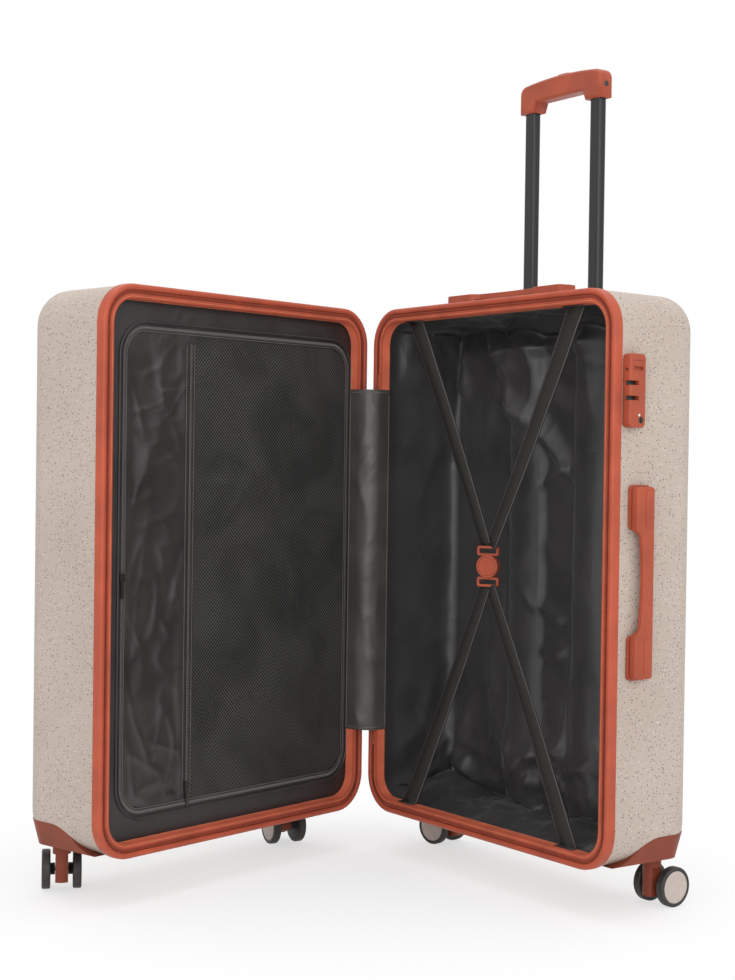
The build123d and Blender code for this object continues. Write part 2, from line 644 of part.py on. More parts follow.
with BuildPart() as lock_release:
    with BuildSketch(lock_face.offset(-RELEASE_DEEP + RUNNING)):
        with Locations((LOCK_WIDTH / 2, release_z - LOCK_Z)):
            RectangleRounded(RELEASE_WIDTH - 2 * FIT, RELEASE_HEIGHT - 2 * FIT, 1.5)
    extrude(amount=RELEASE_DEEP + FIT)
keep("lock_release", lock_release.part)

with BuildPart() as lock_cylinder:
    with BuildSketch(lock_seat.offset(LOCK_FLOOR + RUNNING)):
        with Locations((key_y - LOCK_FRONT, key_z - LOCK_Z)):
            Circle(KEY_R)
    extrude(amount=LOCK_PROUD - LOCK_FLOOR - FIT)
    with BuildSketch(lock_face):
        with Locations((key_y - LOCK_FRONT, key_z - LOCK_Z)):
            Rectangle(KEY_SLOT[0], KEY_SLOT[1])
    extrude(amount=-KEY_SLOT[2], mode=Mode.SUBTRACT)
keep("lock_cylinder", lock_cylinder.part)

# Side-release buckle where the cross straps meet, turned a little towards the free side
turn = radians(BUCKLE_TWIST)
buckle_plane = Plane(origin=(0, STRAP_DEPTH, BUCKLE_Z), x_dir=(cos(turn), sin(turn), 0),
                     z_dir=(sin(turn), -cos(turn), 0))
ring_middle = BUCKLE_R + RING_HEIGHT / 2 - 1
ring_top = BUCKLE_R + RING_HEIGHT - 1


def strap_ring(way):
    """Flat loop above (1) or below (-1) the buckle's middle that holds a strap's end."""
    with BuildPart() as loop:
        with BuildSketch(buckle_plane):
            with Locations((0, way * ring_middle)):
                RectangleRounded(RING_WIDTH, RING_HEIGHT, RING_BAR)
                RectangleRounded(RING_WIDTH - 2 * RING_BAR, RING_HEIGHT - 2 * RING_BAR, 1, mode=Mode.SUBTRACT)
        extrude(amount=RING_THICK / 2, both=True)
    return loop.part


button_r = BUCKLE_R - 3
with BuildPart() as buckle_socket:
    with BuildSketch(buckle_plane):
        Circle(BUCKLE_R)
    extrude(amount=BUCKLE_THICK / 2, both=True)
    fillet(buckle_socket.edges().filter_by(GeomType.CIRCLE), 1.2)
    add(strap_ring(1))
    with BuildSketch(buckle_plane):
        with Locations((0, -BUCKLE_R)):
            Rectangle(TONGUE_WIDTH + 2 * FIT, 2 * (TONGUE_LENGTH + FIT))
    extrude(amount=TONGUE_THICK / 2 + FIT, both=True, mode=Mode.SUBTRACT)
    with BuildSketch(buckle_plane.offset(BUCKLE_THICK / 2)):
        Circle(button_r + FIT)
    extrude(amount=-BUCKLE_THICK / 4, mode=Mode.SUBTRACT)
keep("buckle_socket", buckle_socket.part)

with BuildPart() as buckle_prong:
    add(strap_ring(-1))
    with BuildSketch(buckle_plane):
        Circle(BUCKLE_R + FIT)
    extrude(amount=BUCKLE_THICK, both=True, mode=Mode.SUBTRACT)
    with BuildSketch(buckle_plane):
        with Locations((0, -BUCKLE_R - RING_BAR / 2)):
            Rectangle(TONGUE_WIDTH, TONGUE_LENGTH + RING_BAR / 2, align=(Align.CENTER, Align.MIN))
    extrude(amount=TONGUE_THICK / 2, both=True)
keep("buckle_prong", buckle_prong.part)

with BuildPart() as buckle_button:
    with BuildSketch(buckle_plane.offset(BUCKLE_THICK / 4 + 1)):
        Circle(button_r)
    extrude(amount=BUCKLE_THICK / 4 - 0.7)
keep("buckle_button", buckle_button.part)

# Cross straps: flat webbing from the lining's upper and lower corners to the buckle's rings
strap_top = TOP_Z - TAPE_WIDTH - 2 * FIT
strap_low = FLOOR_GAP + TAPE_WIDTH + 2 * FIT
slant = STRAP_WIDTH / 2 / cos(radians(27))


def strap_pair(ring_z, end_z):
    """Two straps from the ring to the corners, one just behind the other where they meet."""
    with BuildPart() as pair:
        for side, depth in ((-1, STRAP_DEPTH - STRAP_THICK - FIT), (1, STRAP_DEPTH + FIT)):
            with BuildSketch(Plane(origin=(0, depth, 0), x_dir=(1, 0, 0), z_dir=(0, -1, 0))):
                with BuildLine():
                    Polyline((-slant, ring_z), (slant, ring_z), (side * STRAP_SPREAD + slant, end_z),
                             (side * STRAP_SPREAD - slant, end_z), close=True)
                make_face()
            extrude(amount=-STRAP_THICK)
    return pair.part


keep("upper_straps", strap_pair(BUCKLE_Z + ring_top + FIT, strap_top))
keep("lower_straps", strap_pair(BUCKLE_Z - ring_top - FIT, strap_low))

# Divider in the lid, drawn at +Y and mirrored: a sewn border, and a zipped door with two panels
door_front = TURN_DEPTH + FIT
door_width = CASE_WIDTH - DOOR_SIDE - DOOR_HINGE
door_height = CASE_HEIGHT - 2 * DOOR_ENDS
door_x = (DOOR_HINGE - DOOR_SIDE) / 2


def door_outline(inset):
    """The door's rounded outline, moved inwards by inset."""
    with Locations((door_x, 0)):
        RectangleRounded(door_width - 2 * inset, door_height - 2 * inset, DOOR_R - inset)


def door_window(inset, way):
    """Window of the door on the hinge side (-1) or the free side (1) of the pocket zip."""
    door_outline(DOOR_HEM + inset)
    with Locations((POCKET_ZIP_X + way * (DOOR_HEM + inset), 0)):
        Rectangle(CASE_WIDTH, CASE_HEIGHT, mode=Mode.INTERSECT,
                  align=(Align.MIN if way > 0 else Align.MAX, Align.CENTER))


def door_sheet(name, thick, draw):
    """One flat sewn piece of the divider, from the sketch that draw makes."""
    with BuildPart() as sheet:
        with BuildSketch(facing(door_front)):
            draw()
        extrude(amount=-thick)
    keep(name, mirror(sheet.part, about=Plane.XZ))


with BuildPart() as divider_border:
    with BuildSketch(facing(door_front)):
        outline(LINING_INSET + LINING + FIT)
        with Locations((door_x, 0)):
            RectangleRounded(door_width + 2 * FIT, door_height + 2 * FIT, DOOR_R + FIT, mode=Mode.SUBTRACT)
    extrude(amount=-DIVIDER_THICK)
keep("divider_border", mirror(divider_border.part, about=Plane.XZ))

with BuildPart() as divider_panel:
    with BuildSketch(facing(door_front)):
        door_outline(0)
    extrude(amount=-DIVIDER_THICK)
    for way in (-1, 1):
        with BuildSketch(facing(door_front)):
            door_window(0, way)
        extrude(amount=-DIVIDER_THICK, mode=Mode.SUBTRACT)
keep("divider_panel", mirror(divider_panel.part, about=Plane.XZ))
door_sheet("divider_mesh", DIVIDER_THICK / 2, lambda: door_window(FIT / 2, -1))
door_sheet("divider_pocket", DIVIDER_THICK, lambda: door_window(FIT / 2, 1))

zip_front = door_front - DOOR_ZIP_THICK
with BuildPart() as divider_zip:
    with BuildSketch(facing(zip_front)):
        door_outline(0.5)
        with Locations((door_x, 0)):
            RectangleRounded(door_width - 2 * DOOR_ZIP_WIDTH, door_height - 2 * DOOR_ZIP_WIDTH,
                             DOOR_R - DOOR_ZIP_WIDTH, mode=Mode.SUBTRACT)
    extrude(amount=-DOOR_ZIP_THICK)
keep("divider_zip", mirror(divider_zip.part, about=Plane.XZ))

pocket_zip_length = door_height - 4 * DOOR_HEM
with BuildPart() as pocket_zip:
    with BuildSketch(facing(zip_front)):
        with Locations((POCKET_ZIP_X, 0)):
            Rectangle(DOOR_ZIP_WIDTH, pocket_zip_length)
    extrude(amount=-DOOR_ZIP_THICK)
keep("pocket_zip", mirror(pocket_zip.part, about=Plane.XZ))


def door_pull(name, x, z):
    """Zip slider on the door with its pull tab hanging from it."""
    with BuildPart() as pull:
        with BuildSketch(facing(zip_front - FIT)):
            with Locations((x, z - MID_Z)):
                RectangleRounded(DOOR_SLIDER[0], DOOR_SLIDER[1], 2)
        extrude(amount=DOOR_SLIDER[2])
        with BuildSketch(facing(zip_front - 2 * FIT)):
            with Locations((x, z - MID_Z - DOOR_PULL[0] / 2 - 2)):
                SlotOverall(DOOR_PULL[0], DOOR_PULL[1], rotation=90)
        extrude(amount=DOOR_PULL[2])
    keep(name, mirror(pull.part, about=Plane.XZ))


pocket_pull_z = MID_Z - pocket_zip_length / 2 + 8
door_pull("pocket_zip_pull", POCKET_ZIP_X, pocket_pull_z)
door_pull("divider_zip_pull", HALF_W - DOOR_SIDE - DOOR_ZIP_WIDTH / 2, DOOR_PULL_Z)


# Twin-wheel casters: drawn with the swivel axis at the origin and the wheels trailing along +X
axle_axis = Axis((TRAIL, 0, WHEEL_R), (0, 1, 0))
axle_plane = Plane(origin=(TRAIL, 0, WHEEL_R), x_dir=(0, 1, 0), z_dir=(1, 0, 0))
collar_top = HOUSING_Z - FIT
collar_low = collar_top - COLLAR_HEIGHT


def caster_fork():
    """Stem, collar and the flattened post that runs down to the axle."""
    with BuildPart() as fork:
        with BuildSketch(Plane.XY.offset(collar_low)):
            Circle(COLLAR_R)
        extrude(amount=COLLAR_HEIGHT)
        with BuildSketch(Plane.XY.offset(collar_top)):
            Circle(STEM_R)
        extrude(amount=STEM_LENGTH)
        with BuildSketch(Plane.XY.offset(FORK_CLEAR_Z)):
            Circle(COLLAR_R)
            Rectangle(2 * COLLAR_R, FORK_THICK, mode=Mode.INTERSECT)
        extrude(amount=collar_low - FORK_CLEAR_Z)
        with BuildSketch(Plane.XZ):
            with Locations((TRAIL, WHEEL_R)):
                Circle(HUB_R + 1.5)
            with Locations((0, (collar_low + FORK_CLEAR_Z) / 2)):
                Rectangle(COLLAR_R, collar_low - FORK_CLEAR_Z - 8)
            make_hull()
        extrude(amount=FORK_THICK / 2, both=True)
        with BuildSketch(Plane.XZ):
            with Locations((TRAIL, WHEEL_R)):
                Circle(AXLE_R + RUNNING)
        extrude(amount=FORK_THICK, both=True, mode=Mode.SUBTRACT)
    return fork.part


def caster_axle():
    """Pin through the fork and both hubs."""
    with BuildPart() as axle:
        with BuildSketch(Plane(origin=(TRAIL, 0, WHEEL_R), x_dir=(1, 0, 0), z_dir=(0, 1, 0))):
            Circle(AXLE_R)
        extrude(amount=WHEEL_CENTRE + WHEEL_WIDTH / 4, both=True)
    return axle.part


def caster_wheel():
    """Wheel on the +Y side with its inner hub, rounded tread and the hub cap in its outer recess."""
    inner = FORK_THICK / 2 + FIT
    near = WHEEL_CENTRE - WHEEL_WIDTH / 2
    far = WHEEL_CENTRE + WHEEL_WIDTH / 2
    seat = far - CAP_THICK
    round_r = WHEEL_WIDTH / 5
    with BuildPart() as wheel:
        with BuildSketch(axle_plane) as section:
            with BuildLine():
                Polyline((inner, AXLE_R + RUNNING), (inner, HUB_R), (near, HUB_R), (near, WHEEL_R),
                         (far, WHEEL_R), (far, CAP_R + 2 * RUNNING), (seat, CAP_R + 2 * RUNNING),
                         (seat, AXLE_R + RUNNING), close=True)
            make_face()
            fillet(section.vertices().group_by(Axis.Y)[-1], round_r)
        revolve(axis=axle_axis)
        with BuildSketch(axle_plane):
            with BuildLine():
                Polyline((seat + RUNNING, 0), (seat + RUNNING, CAP_R), (far - CAP_THICK / 4, CAP_R),
                         (far, CAP_R - CAP_THICK), (far, 0), close=True)
            make_face()
        revolve(axis=axle_axis)
    return wheel.part


# Where each caster stands on the closed case and which way its wheels trail as it stands open
caster_x = HALF_W - CASTER_INSET
casters = {
    "main_free_caster": (caster_x, CASTER_DEPTH, 91.0),
    "main_hinge_caster": (-caster_x, CASTER_DEPTH, 190.0),
    "lid_free_caster": (caster_x, -CASTER_DEPTH, 155.0 + OPEN_ANGLE),
    "lid_hinge_caster": (-caster_x, -CASTER_DEPTH, -8.0 + OPEN_ANGLE),
}
fork_form = caster_fork()
axle_form = caster_axle()
wheel_form = caster_wheel()
caster_forms = {
    "fork": fork_form,
    "axle": axle_form,
    "wheel_a": wheel_form,
    "wheel_b": mirror(wheel_form, about=Plane.XZ),
}
for place, (x, y, heading) in casters.items():
    for piece, form in caster_forms.items():
        keep(f"{place}_{piece}", form.rotate(Axis.Z, heading).moved(Location((x, y, 0))))

# The lid half swings open about the hinge, then the footprint is centred on the origin
lid_names = [name for name in pieces if name.startswith(("lid_", "divider_", "pocket_"))]
for name in lid_names:
    keep(name, pieces[name].rotate(HINGE_AXIS, -OPEN_ANGLE))
whole = Compound(list(pieces.values())).bounding_box()
shift = Location((-(whole.min.X + whole.max.X) / 2, -(whole.min.Y + whole.max.Y) / 2, 0))

os.makedirs("parts", exist_ok=True)
for name, part in pieces.items():
    keep(name, part.moved(shift))
    export_step(pieces[name], f"parts/{name}.step")
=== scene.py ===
import bpy
import bmesh
import json
from math import cos, pi, radians, sin
from mathutils import Matrix, Vector, noise


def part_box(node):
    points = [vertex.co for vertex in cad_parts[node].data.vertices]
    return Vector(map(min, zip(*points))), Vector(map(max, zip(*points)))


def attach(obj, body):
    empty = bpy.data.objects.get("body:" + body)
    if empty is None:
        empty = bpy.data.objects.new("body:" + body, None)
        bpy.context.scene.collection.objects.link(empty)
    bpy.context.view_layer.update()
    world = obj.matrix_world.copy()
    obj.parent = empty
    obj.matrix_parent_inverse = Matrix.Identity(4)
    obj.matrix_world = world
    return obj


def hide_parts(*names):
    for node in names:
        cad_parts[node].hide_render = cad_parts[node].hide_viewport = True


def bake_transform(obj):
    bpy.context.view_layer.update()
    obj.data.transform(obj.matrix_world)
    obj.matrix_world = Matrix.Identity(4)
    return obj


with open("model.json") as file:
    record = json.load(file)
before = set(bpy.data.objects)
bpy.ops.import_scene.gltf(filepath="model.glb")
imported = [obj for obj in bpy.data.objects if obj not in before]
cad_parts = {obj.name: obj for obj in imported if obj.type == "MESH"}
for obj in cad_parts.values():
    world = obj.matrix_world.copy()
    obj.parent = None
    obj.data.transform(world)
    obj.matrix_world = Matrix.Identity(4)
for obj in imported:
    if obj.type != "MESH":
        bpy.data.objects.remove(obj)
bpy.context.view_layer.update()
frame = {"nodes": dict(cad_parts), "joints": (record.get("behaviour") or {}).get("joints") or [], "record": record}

# The studio: a flat pale sheet of paper under the case that runs far behind it, broad soft lamps, and the camera
# at a low eye height, turned and tilted as the photograph's vanishing lines ask.
shell_low, shell_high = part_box("main_shell")
hinge = Vector(next(j for j in frame["joints"] if j["name"] == "lid_swing")["pos_m"])
hinge.z = 0
rim_ahead = 0.005
case_mid = Vector(((shell_low.x + shell_high.x) / 2, shell_low.y - rim_ahead, 0))
view_way = Vector((-0.817, 0.577, 0)).normalized()
view_right = Vector((view_way.y, -view_way.x, 0))
eye_back, eye_left, eye_height = 2.421, 0.0018, 0.548
eye = hinge - view_way * eye_back - view_right * eye_left + Vector((0, 0, eye_height))
pitch, roll = radians(0.94), radians(0.78)
ahead = view_way * cos(pitch) - Vector((0, 0, 1)) * sin(pitch)
level_up = view_right.cross(ahead)
right = view_right * cos(roll) + level_up * sin(roll)
up = level_up * cos(roll) - view_right * sin(roll)
focal_px, picture_px, sensor_mm = 1706, 980, 36
lens = bpy.data.cameras.new("eye")
lens.sensor_fit = "VERTICAL"
lens.sensor_height = sensor_mm
lens.lens = sensor_mm * focal_px / picture_px
camera = bpy.data.objects.new("eye", lens)
camera.matrix_world = Matrix([(right[k], up[k], -ahead[k], eye[k]) for k in range(3)] + [(0, 0, 0, 1)])
bpy.context.collection.objects.link(camera)
bpy.context.scene.camera = camera
bpy.context.scene.view_settings.view_transform = "Standard"

floor_half, floor_back = 12, 6
bm = bmesh.new()
bmesh.ops.create_grid(bm, x_segments=1, y_segments=1, size=floor_half)
square_to_view = Matrix.Rotation(view_right.to_2d().angle_signed(Vector((1, 0))), 3, "Z")
bmesh.ops.rotate(bm, verts=bm.verts, matrix=square_to_view)
bmesh.ops.translate(bm, verts=bm.verts, vec=view_way * floor_back)
floor_mesh = bpy.data.meshes.new("floor")
bm.to_mesh(floor_mesh)
bm.free()
floor = bpy.data.objects.new("floor", floor_mesh)
bpy.context.collection.objects.link(floor)


def background_rays(nodes, links):
    """One for rays that show the backdrop: from the camera, off a mirror or through glass."""
    seen = nodes.new("ShaderNodeLightPath")
    value = seen.outputs["Is Camera Ray"]
    for kind in ("Is Glossy Ray", "Is Transmission Ray"):
        either = nodes.new("ShaderNodeMath")
        either.operation = "MAXIMUM"
        links.new(value, either.inputs[0])
        links.new(seen.outputs[kind], either.inputs[1])
        value = either.outputs["Value"]
    return value


paper = bpy.data.materials.new("paper")
paper.use_nodes = True
nodes, links = paper.node_tree.nodes, paper.node_tree.links
nodes["Principled BSDF"].inputs["Base Color"].default_value = (0.96, 0.96, 0.96, 1)
nodes["Principled BSDF"].inputs["Roughness"].default_value = 0.9
nodes["Principled BSDF"].inputs["Specular IOR Level"].default_value = 0.1
white = nodes.new("ShaderNodeEmission")
white.inputs["Strength"].default_value = 1.0
place = nodes.new("ShaderNodeTexCoord")
far = nodes.new("ShaderNodeVectorMath")
far.operation = "LENGTH"
fade = nodes.new("ShaderNodeMapRange")
fade.interpolation_type = "SMOOTHSTEP"
fade.inputs["From Min"].default_value = 0.3
fade.inputs["From Max"].default_value = 0.7
fade.inputs["To Min"].default_value = 0.6
only = nodes.new("ShaderNodeMath")
only.operation = "MULTIPLY"
blend = nodes.new("ShaderNodeMixShader")
links.new(place.outputs["Object"], far.inputs[0])
links.new(far.outputs["Value"], fade.inputs["Value"])
links.new(fade.outputs["Result"], only.inputs[0])
links.new(background_rays(nodes, links), only.inputs[1])
links.new(only.outputs["Value"], blend.inputs["Fac"])
links.new(nodes["Principled BSDF"].outputs["BSDF"], blend.inputs[1])
links.new(white.outputs["Emission"], blend.inputs[2])
links.new(blend.outputs["Shader"], nodes["Material Output"].inputs["Surface"])
floor_mesh.materials.append(paper)

world = bpy.data.worlds.new("studio")
bpy.context.scene.world = world
world.use_nodes = True
nodes, links = world.node_tree.nodes, world.node_tree.links
room = nodes["Background"]
room.inputs["Color"].default_value = (1, 1, 1, 1)
room.inputs["Strength"].default_value = 0.62
backdrop = nodes.new("ShaderNodeBackground")
backdrop.inputs["Color"].default_value = (1, 1, 1, 1)
backdrop.inputs["Strength"].default_value = 1.0
choose = nodes.new("ShaderNodeMixShader")
links.new(background_rays(nodes, links), choose.inputs["Fac"])
links.new(room.outputs["Background"], choose.inputs[1])
links.new(backdrop.outputs["Background"], choose.inputs[2])
links.new(choose.outputs["Shader"], nodes["World Output"].inputs["Surface"])

lamp_target = Vector((0, 0, 0.42))
for lamp_name, across, back, height, size, power in (
        ("key", 1.9, -1.5, 1.6, 1.6, 11),
        ("fill", -1.5, -1.6, 2.0, 1.8, 9),
        ("front", 0.1, -2.5, 1.0, 1.6, 21),
        ("top", 0.0, 0.1, 2.6, 2.2, 24)):
    lamp = bpy.data.lights.new(lamp_name, "AREA")
    lamp.size = size
    lamp.energy = power
    holder = bpy.data.objects.new(lamp_name, lamp)
    holder.location = view_right * across + view_way * back + Vector((0, 0, height))
    aim = lamp_target - holder.location
    holder.rotation_euler = aim.to_track_quat("-Z", "Y").to_euler()
    bpy.context.collection.objects.link(holder)

# The two shells: vacuum-formed hard plastic, matte greige with a scatter of fine dark and pale
# flecks in the sheet, pressed channels in the back walls and the caster corners cut away.
bodies = frame["record"]["behaviour"]["bodies"]


def paint(red, green, blue):
    """A colour as the eye reads it, 0 to 255, as the light it reflects."""
    return [((c / 255 + 0.055) / 1.055) ** 2.4 if c > 10 else c / 3295 for c in (red, green, blue)] + [1]


def new_finish(name, colour, roughness, specular=0.5):
    """A fresh material with its node tree and shader."""
    finish = bpy.data.materials.new(name)
    finish.use_nodes = True
    shader = finish.node_tree.nodes["Principled BSDF"]
    shader.inputs["Base Color"].default_value = colour
    shader.inputs["Roughness"].default_value = roughness
    shader.inputs["Specular IOR Level"].default_value = specular
    return finish, finish.node_tree.nodes, finish.node_tree.links, shader


def node_with(nodes, kind, **values):
    """A node of one kind with the named inputs or settings given."""
    node = nodes.new(kind)
    for key, value in values.items():
        if hasattr(node, key):
            setattr(node, key, value)
        else:
            node.inputs[key.replace("_", " ")].default_value = value
    return node


def texture(nodes, links, kind, **values):
    """A texture node over the object's own coordinates."""
    node = node_with(nodes, kind, **values)
    links.new(nodes.new("ShaderNodeTexCoord").outputs["Object"], node.inputs["Vector"])
    return node


def tone(nodes, links, factor, stops):
    """A colour ramp over a factor socket, from (place, colour) stops."""
    ramp = nodes.new("ShaderNodeValToRGB")
    links.new(factor, ramp.inputs["Fac"])
    elements = ramp.color_ramp.elements
    elements[0].position, elements[0].color = stops[0]
    elements[1].position, elements[1].color = stops[-1]
    for place, colour in stops[1:-1]:
        elements.new(place).color = colour
    return ramp.outputs["Color"]


def relief(nodes, links, shader, height, depth, strength):
    """Bump of a depth in metres from a height socket."""
    bump = nodes.new("ShaderNodeBump")
    bump.inputs["Strength"].default_value = strength
    bump.inputs["Distance"].default_value = depth
    links.new(height, bump.inputs["Height"])
    links.new(bump.outputs["Normal"], shader.inputs["Normal"])
    return bump


def settle(piece, finish, node):
    """Gives a finished piece its material and body, and hides the CAD node it stands in for."""
    piece.data.materials.append(finish)
    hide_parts(node)
    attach(piece, next(body for body, parts in bodies.items() if node in parts))


def stand(bm, name, sharp):
    """A smoothly shaded object from a bmesh, with the edges over an angle kept sharp."""
    mesh = bpy.data.meshes.new(name)
    bm.to_mesh(mesh)
    bm.free()
    mesh.shade_smooth()
    mesh.set_sharp_from_angle(angle=radians(sharp))
    piece = bpy.data.objects.new(name, mesh)
    bpy.context.collection.objects.link(piece)
    return piece


def cad_mesh(node):
    """A CAD node's own solid as a merged bmesh."""
    bm = bmesh.new()
    bm.from_mesh(frame["nodes"][node].data)
    bmesh.ops.remove_doubles(bm, verts=bm.verts, dist=2e-6)
    return bm


def cad_copy(node, name, sharp=32):
    """A CAD node's own solid as one smoothly shaded piece in the same place."""
    piece = stand(cad_mesh(node), name, sharp)
    piece.modifiers.new("even_shading", "WEIGHTED_NORMAL").keep_sharp = True
    return piece


shell_finish, nodes, links, shader = new_finish("flecked_shell", paint(185, 170, 159), 0.5, 0.35)
cloud = texture(nodes, links, "ShaderNodeTexNoise", Scale=7.0, Detail=2.0)
colour = tone(nodes, links, cloud.outputs["Fac"], [(0.35, paint(181, 166, 155)), (0.65, paint(188, 174, 163))])
for cell, reach, fleck in ((250.0, 0.18, paint(60, 51, 47)), (380.0, 0.14, paint(104, 90, 82)),
                           (260.0, 0.125, paint(242, 236, 229))):
    spots = texture(nodes, links, "ShaderNodeTexVoronoi", Scale=cell)
    inside = node_with(nodes, "ShaderNodeMath", operation="LESS_THAN")
    links.new(spots.outputs["Distance"], inside.inputs[0])
    inside.inputs[1].default_value = reach
    layer = node_with(nodes, "ShaderNodeMix", data_type="RGBA")
    layer.inputs["B"].default_value = fleck
    links.new(inside.outputs["Value"], layer.inputs["Factor"])
    links.new(colour, layer.inputs["A"])
    colour = layer.outputs["Result"]
links.new(colour, shader.inputs["Base Color"])
grain = texture(nodes, links, "ShaderNodeTexNoise", Scale=700.0, Detail=2.0)
relief(nodes, links, shader, grain.outputs["Fac"], 0.0002, 0.25)
for node in ("main_shell", "lid_shell"):
    settle(cad_copy(node, node + "_skin"), shell_finish, node)

# Rim of each half: a terracotta welt pressed over the shell's edge, the sewn zip tape inside it
# with its two rows of stitching, and the row of coil teeth that stops at the gusset.
rim_half_w, rim_half_h, rim_mid_z, rim_corner = 0.245, 0.350, 0.410, 0.048
open_angle = radians(75)
main_place = Matrix.Translation(case_mid)
lid_place = (Matrix.Translation(hinge) @ Matrix.Rotation(-open_angle, 4, "Z") @ Matrix.Translation(-hinge)
             @ Matrix.Translation(case_mid) @ Matrix.Scale(-1, 4, Vector((0, 1, 0))))
halves = (("main", main_place), ("lid", lid_place))


def run_round(profile, closed, half_w=rim_half_w, half_h=rim_half_h, corner=rim_corner,
              mid=(0.0, rim_mid_z), steps=9):
    """Carries a profile of (inset, depth) points once round a rounded rectangle that stands in XZ."""
    bm = bmesh.new()
    start = [bm.verts.new((mid[0] - half_w + corner, depth, mid[1] - half_h + inset))
             for inset, depth in profile]
    front = [bm.edges.new(pair) for pair in zip(start, start[1:] + start[:1])]
    if not closed:
        bm.edges.remove(front.pop())
    runs = (((1, 0, 0), 2 * (half_w - corner), (1, -1)), ((0, 0, 1), 2 * (half_h - corner), (1, 1)),
            ((-1, 0, 0), 2 * (half_w - corner), (-1, 1)), ((0, 0, -1), 2 * (half_h - corner), (-1, -1)))
    for way, length, side in runs:
        grown = bmesh.ops.extrude_edge_only(bm, edges=front)["geom"]
        moved = [v for v in grown if isinstance(v, bmesh.types.BMVert)]
        bmesh.ops.translate(bm, verts=moved, vec=Vector(way) * length)
        front = [e for e in grown if isinstance(e, bmesh.types.BMEdge) and all(v in moved for v in e.verts)]
        centre = (mid[0] + side[0] * (half_w - corner), 0, mid[1] + side[1] * (half_h - corner))
        turned = bmesh.ops.spin(bm, geom=moved + front, cent=centre, axis=(0, -1, 0), dvec=(0, 0, 0),
                                angle=pi / 2, steps=steps, use_duplicate=False)["geom_last"]
        front = [e for e in turned if isinstance(e, bmesh.types.BMEdge)]
    bmesh.ops.remove_doubles(bm, verts=bm.verts, dist=1e-5)
    return bm


def rim_points(inset, pitch, half_w=rim_half_w, half_h=rim_half_h, corner=rim_corner, mid=(0.0, rim_mid_z)):
    """Places and headings at an even pitch round the same rounded rectangle, moved in by inset."""
    radius = corner - inset
    sides = (2 * (half_w - corner), 2 * (half_h - corner)) * 2
    centre = Vector((mid[0], 0, mid[1]))
    found = []
    gone = 0.0
    for number, length in enumerate(sides):
        turn = number * pi / 2
        along, inward = Vector((cos(turn), 0, sin(turn))), Vector((-sin(turn), 0, cos(turn)))
        half = (half_h, half_w)[number % 2]
        begin = centre - inward * (half - inset) - along * length / 2
        while gone < length:
            found.append((begin + along * gone, turn))
            gone += pitch
        gone -= length
        arc = radius * pi / 2
        pivot = begin + along * length + inward * radius
        while gone < arc:
            sweep = turn + gone / radius
            found.append((pivot + Vector((sin(sweep), 0, -cos(sweep))) * radius, sweep))
            gone += pitch
        gone -= arc
    return found


def strew(piece_bm, places, depth):
    """Copies of a small mesh set at places round the rim, standing at one depth."""
    bm = bmesh.new()
    small = bpy.data.meshes.new("small")
    piece_bm.to_mesh(small)
    piece_bm.free()
    for spot, turn in places:
        first = len(bm.verts)
        bm.from_mesh(small)
        bm.verts.ensure_lookup_table()
        matrix = Matrix.Translation(spot + Vector((0, depth, 0))) @ Matrix.Rotation(-turn, 4, "Y")
        bmesh.ops.transform(bm, verts=bm.verts[first:], matrix=matrix)
    bpy.data.meshes.remove(small)
    return bm


def piece_from(bm, name, matrix, smooth=40):
    """A finished object from a bmesh, put in its place with its faces turned outwards."""
    bmesh.ops.transform(bm, verts=bm.verts, matrix=matrix)
    bmesh.ops.recalc_face_normals(bm, faces=bm.faces)
    return stand(bm, name, smooth)


def add_on(piece, finish, body):
    """Gives a piece that stands for no CAD node its material and body."""
    piece.data.materials.append(finish)
    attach(piece, body)


def round_off(bm, edges, width, segments):
    """Bevels edges by a width."""
    bmesh.ops.bevel(bm, geom=edges, offset=width, affect="EDGES", segments=segments, profile=0.5,
                    material=-1, clamp_overlap=False)


def block(size):
    """A box of a size, centred on the origin."""
    bm = bmesh.new()
    bmesh.ops.create_cube(bm, size=1)
    bmesh.ops.scale(bm, verts=bm.verts, vec=size)
    return bm


def capsule(length, width, height):
    """A low rounded bar along X, a few dozen faces, for a stitch or a zip tooth."""
    bm = block((length, height, width))
    round_off(bm, bm.edges[:], min(width, height) * 0.3, 1)
    return bm


def terracotta(name, colour, roughness, grain_scale, grain_depth):
    """Moulded or coated terracotta with a fine grain and a slow drift of colour."""
    finish, nodes, links, shader = new_finish(name, paint(*colour), roughness, 0.25)
    drift = texture(nodes, links, "ShaderNodeTexNoise", Scale=28.0, Detail=4.0)
    dark = paint(*[c * 0.93 for c in colour])
    pale = paint(*[min(255, c * 1.05) for c in colour])
    links.new(tone(nodes, links, drift.outputs["Fac"], [(0.3, dark), (0.7, pale)]),
              shader.inputs["Base Color"])
    wear = node_with(nodes, "ShaderNodeMapRange", To_Min=roughness - 0.07, To_Max=roughness + 0.07)
    links.new(drift.outputs["Fac"], wear.inputs["Value"])
    links.new(wear.outputs["Result"], shader.inputs["Roughness"])
    grain = texture(nodes, links, "ShaderNodeTexNoise", Scale=grain_scale, Detail=2.0)
    relief(nodes, links, shader, grain.outputs["Fac"], grain_depth, 0.35)
    return finish


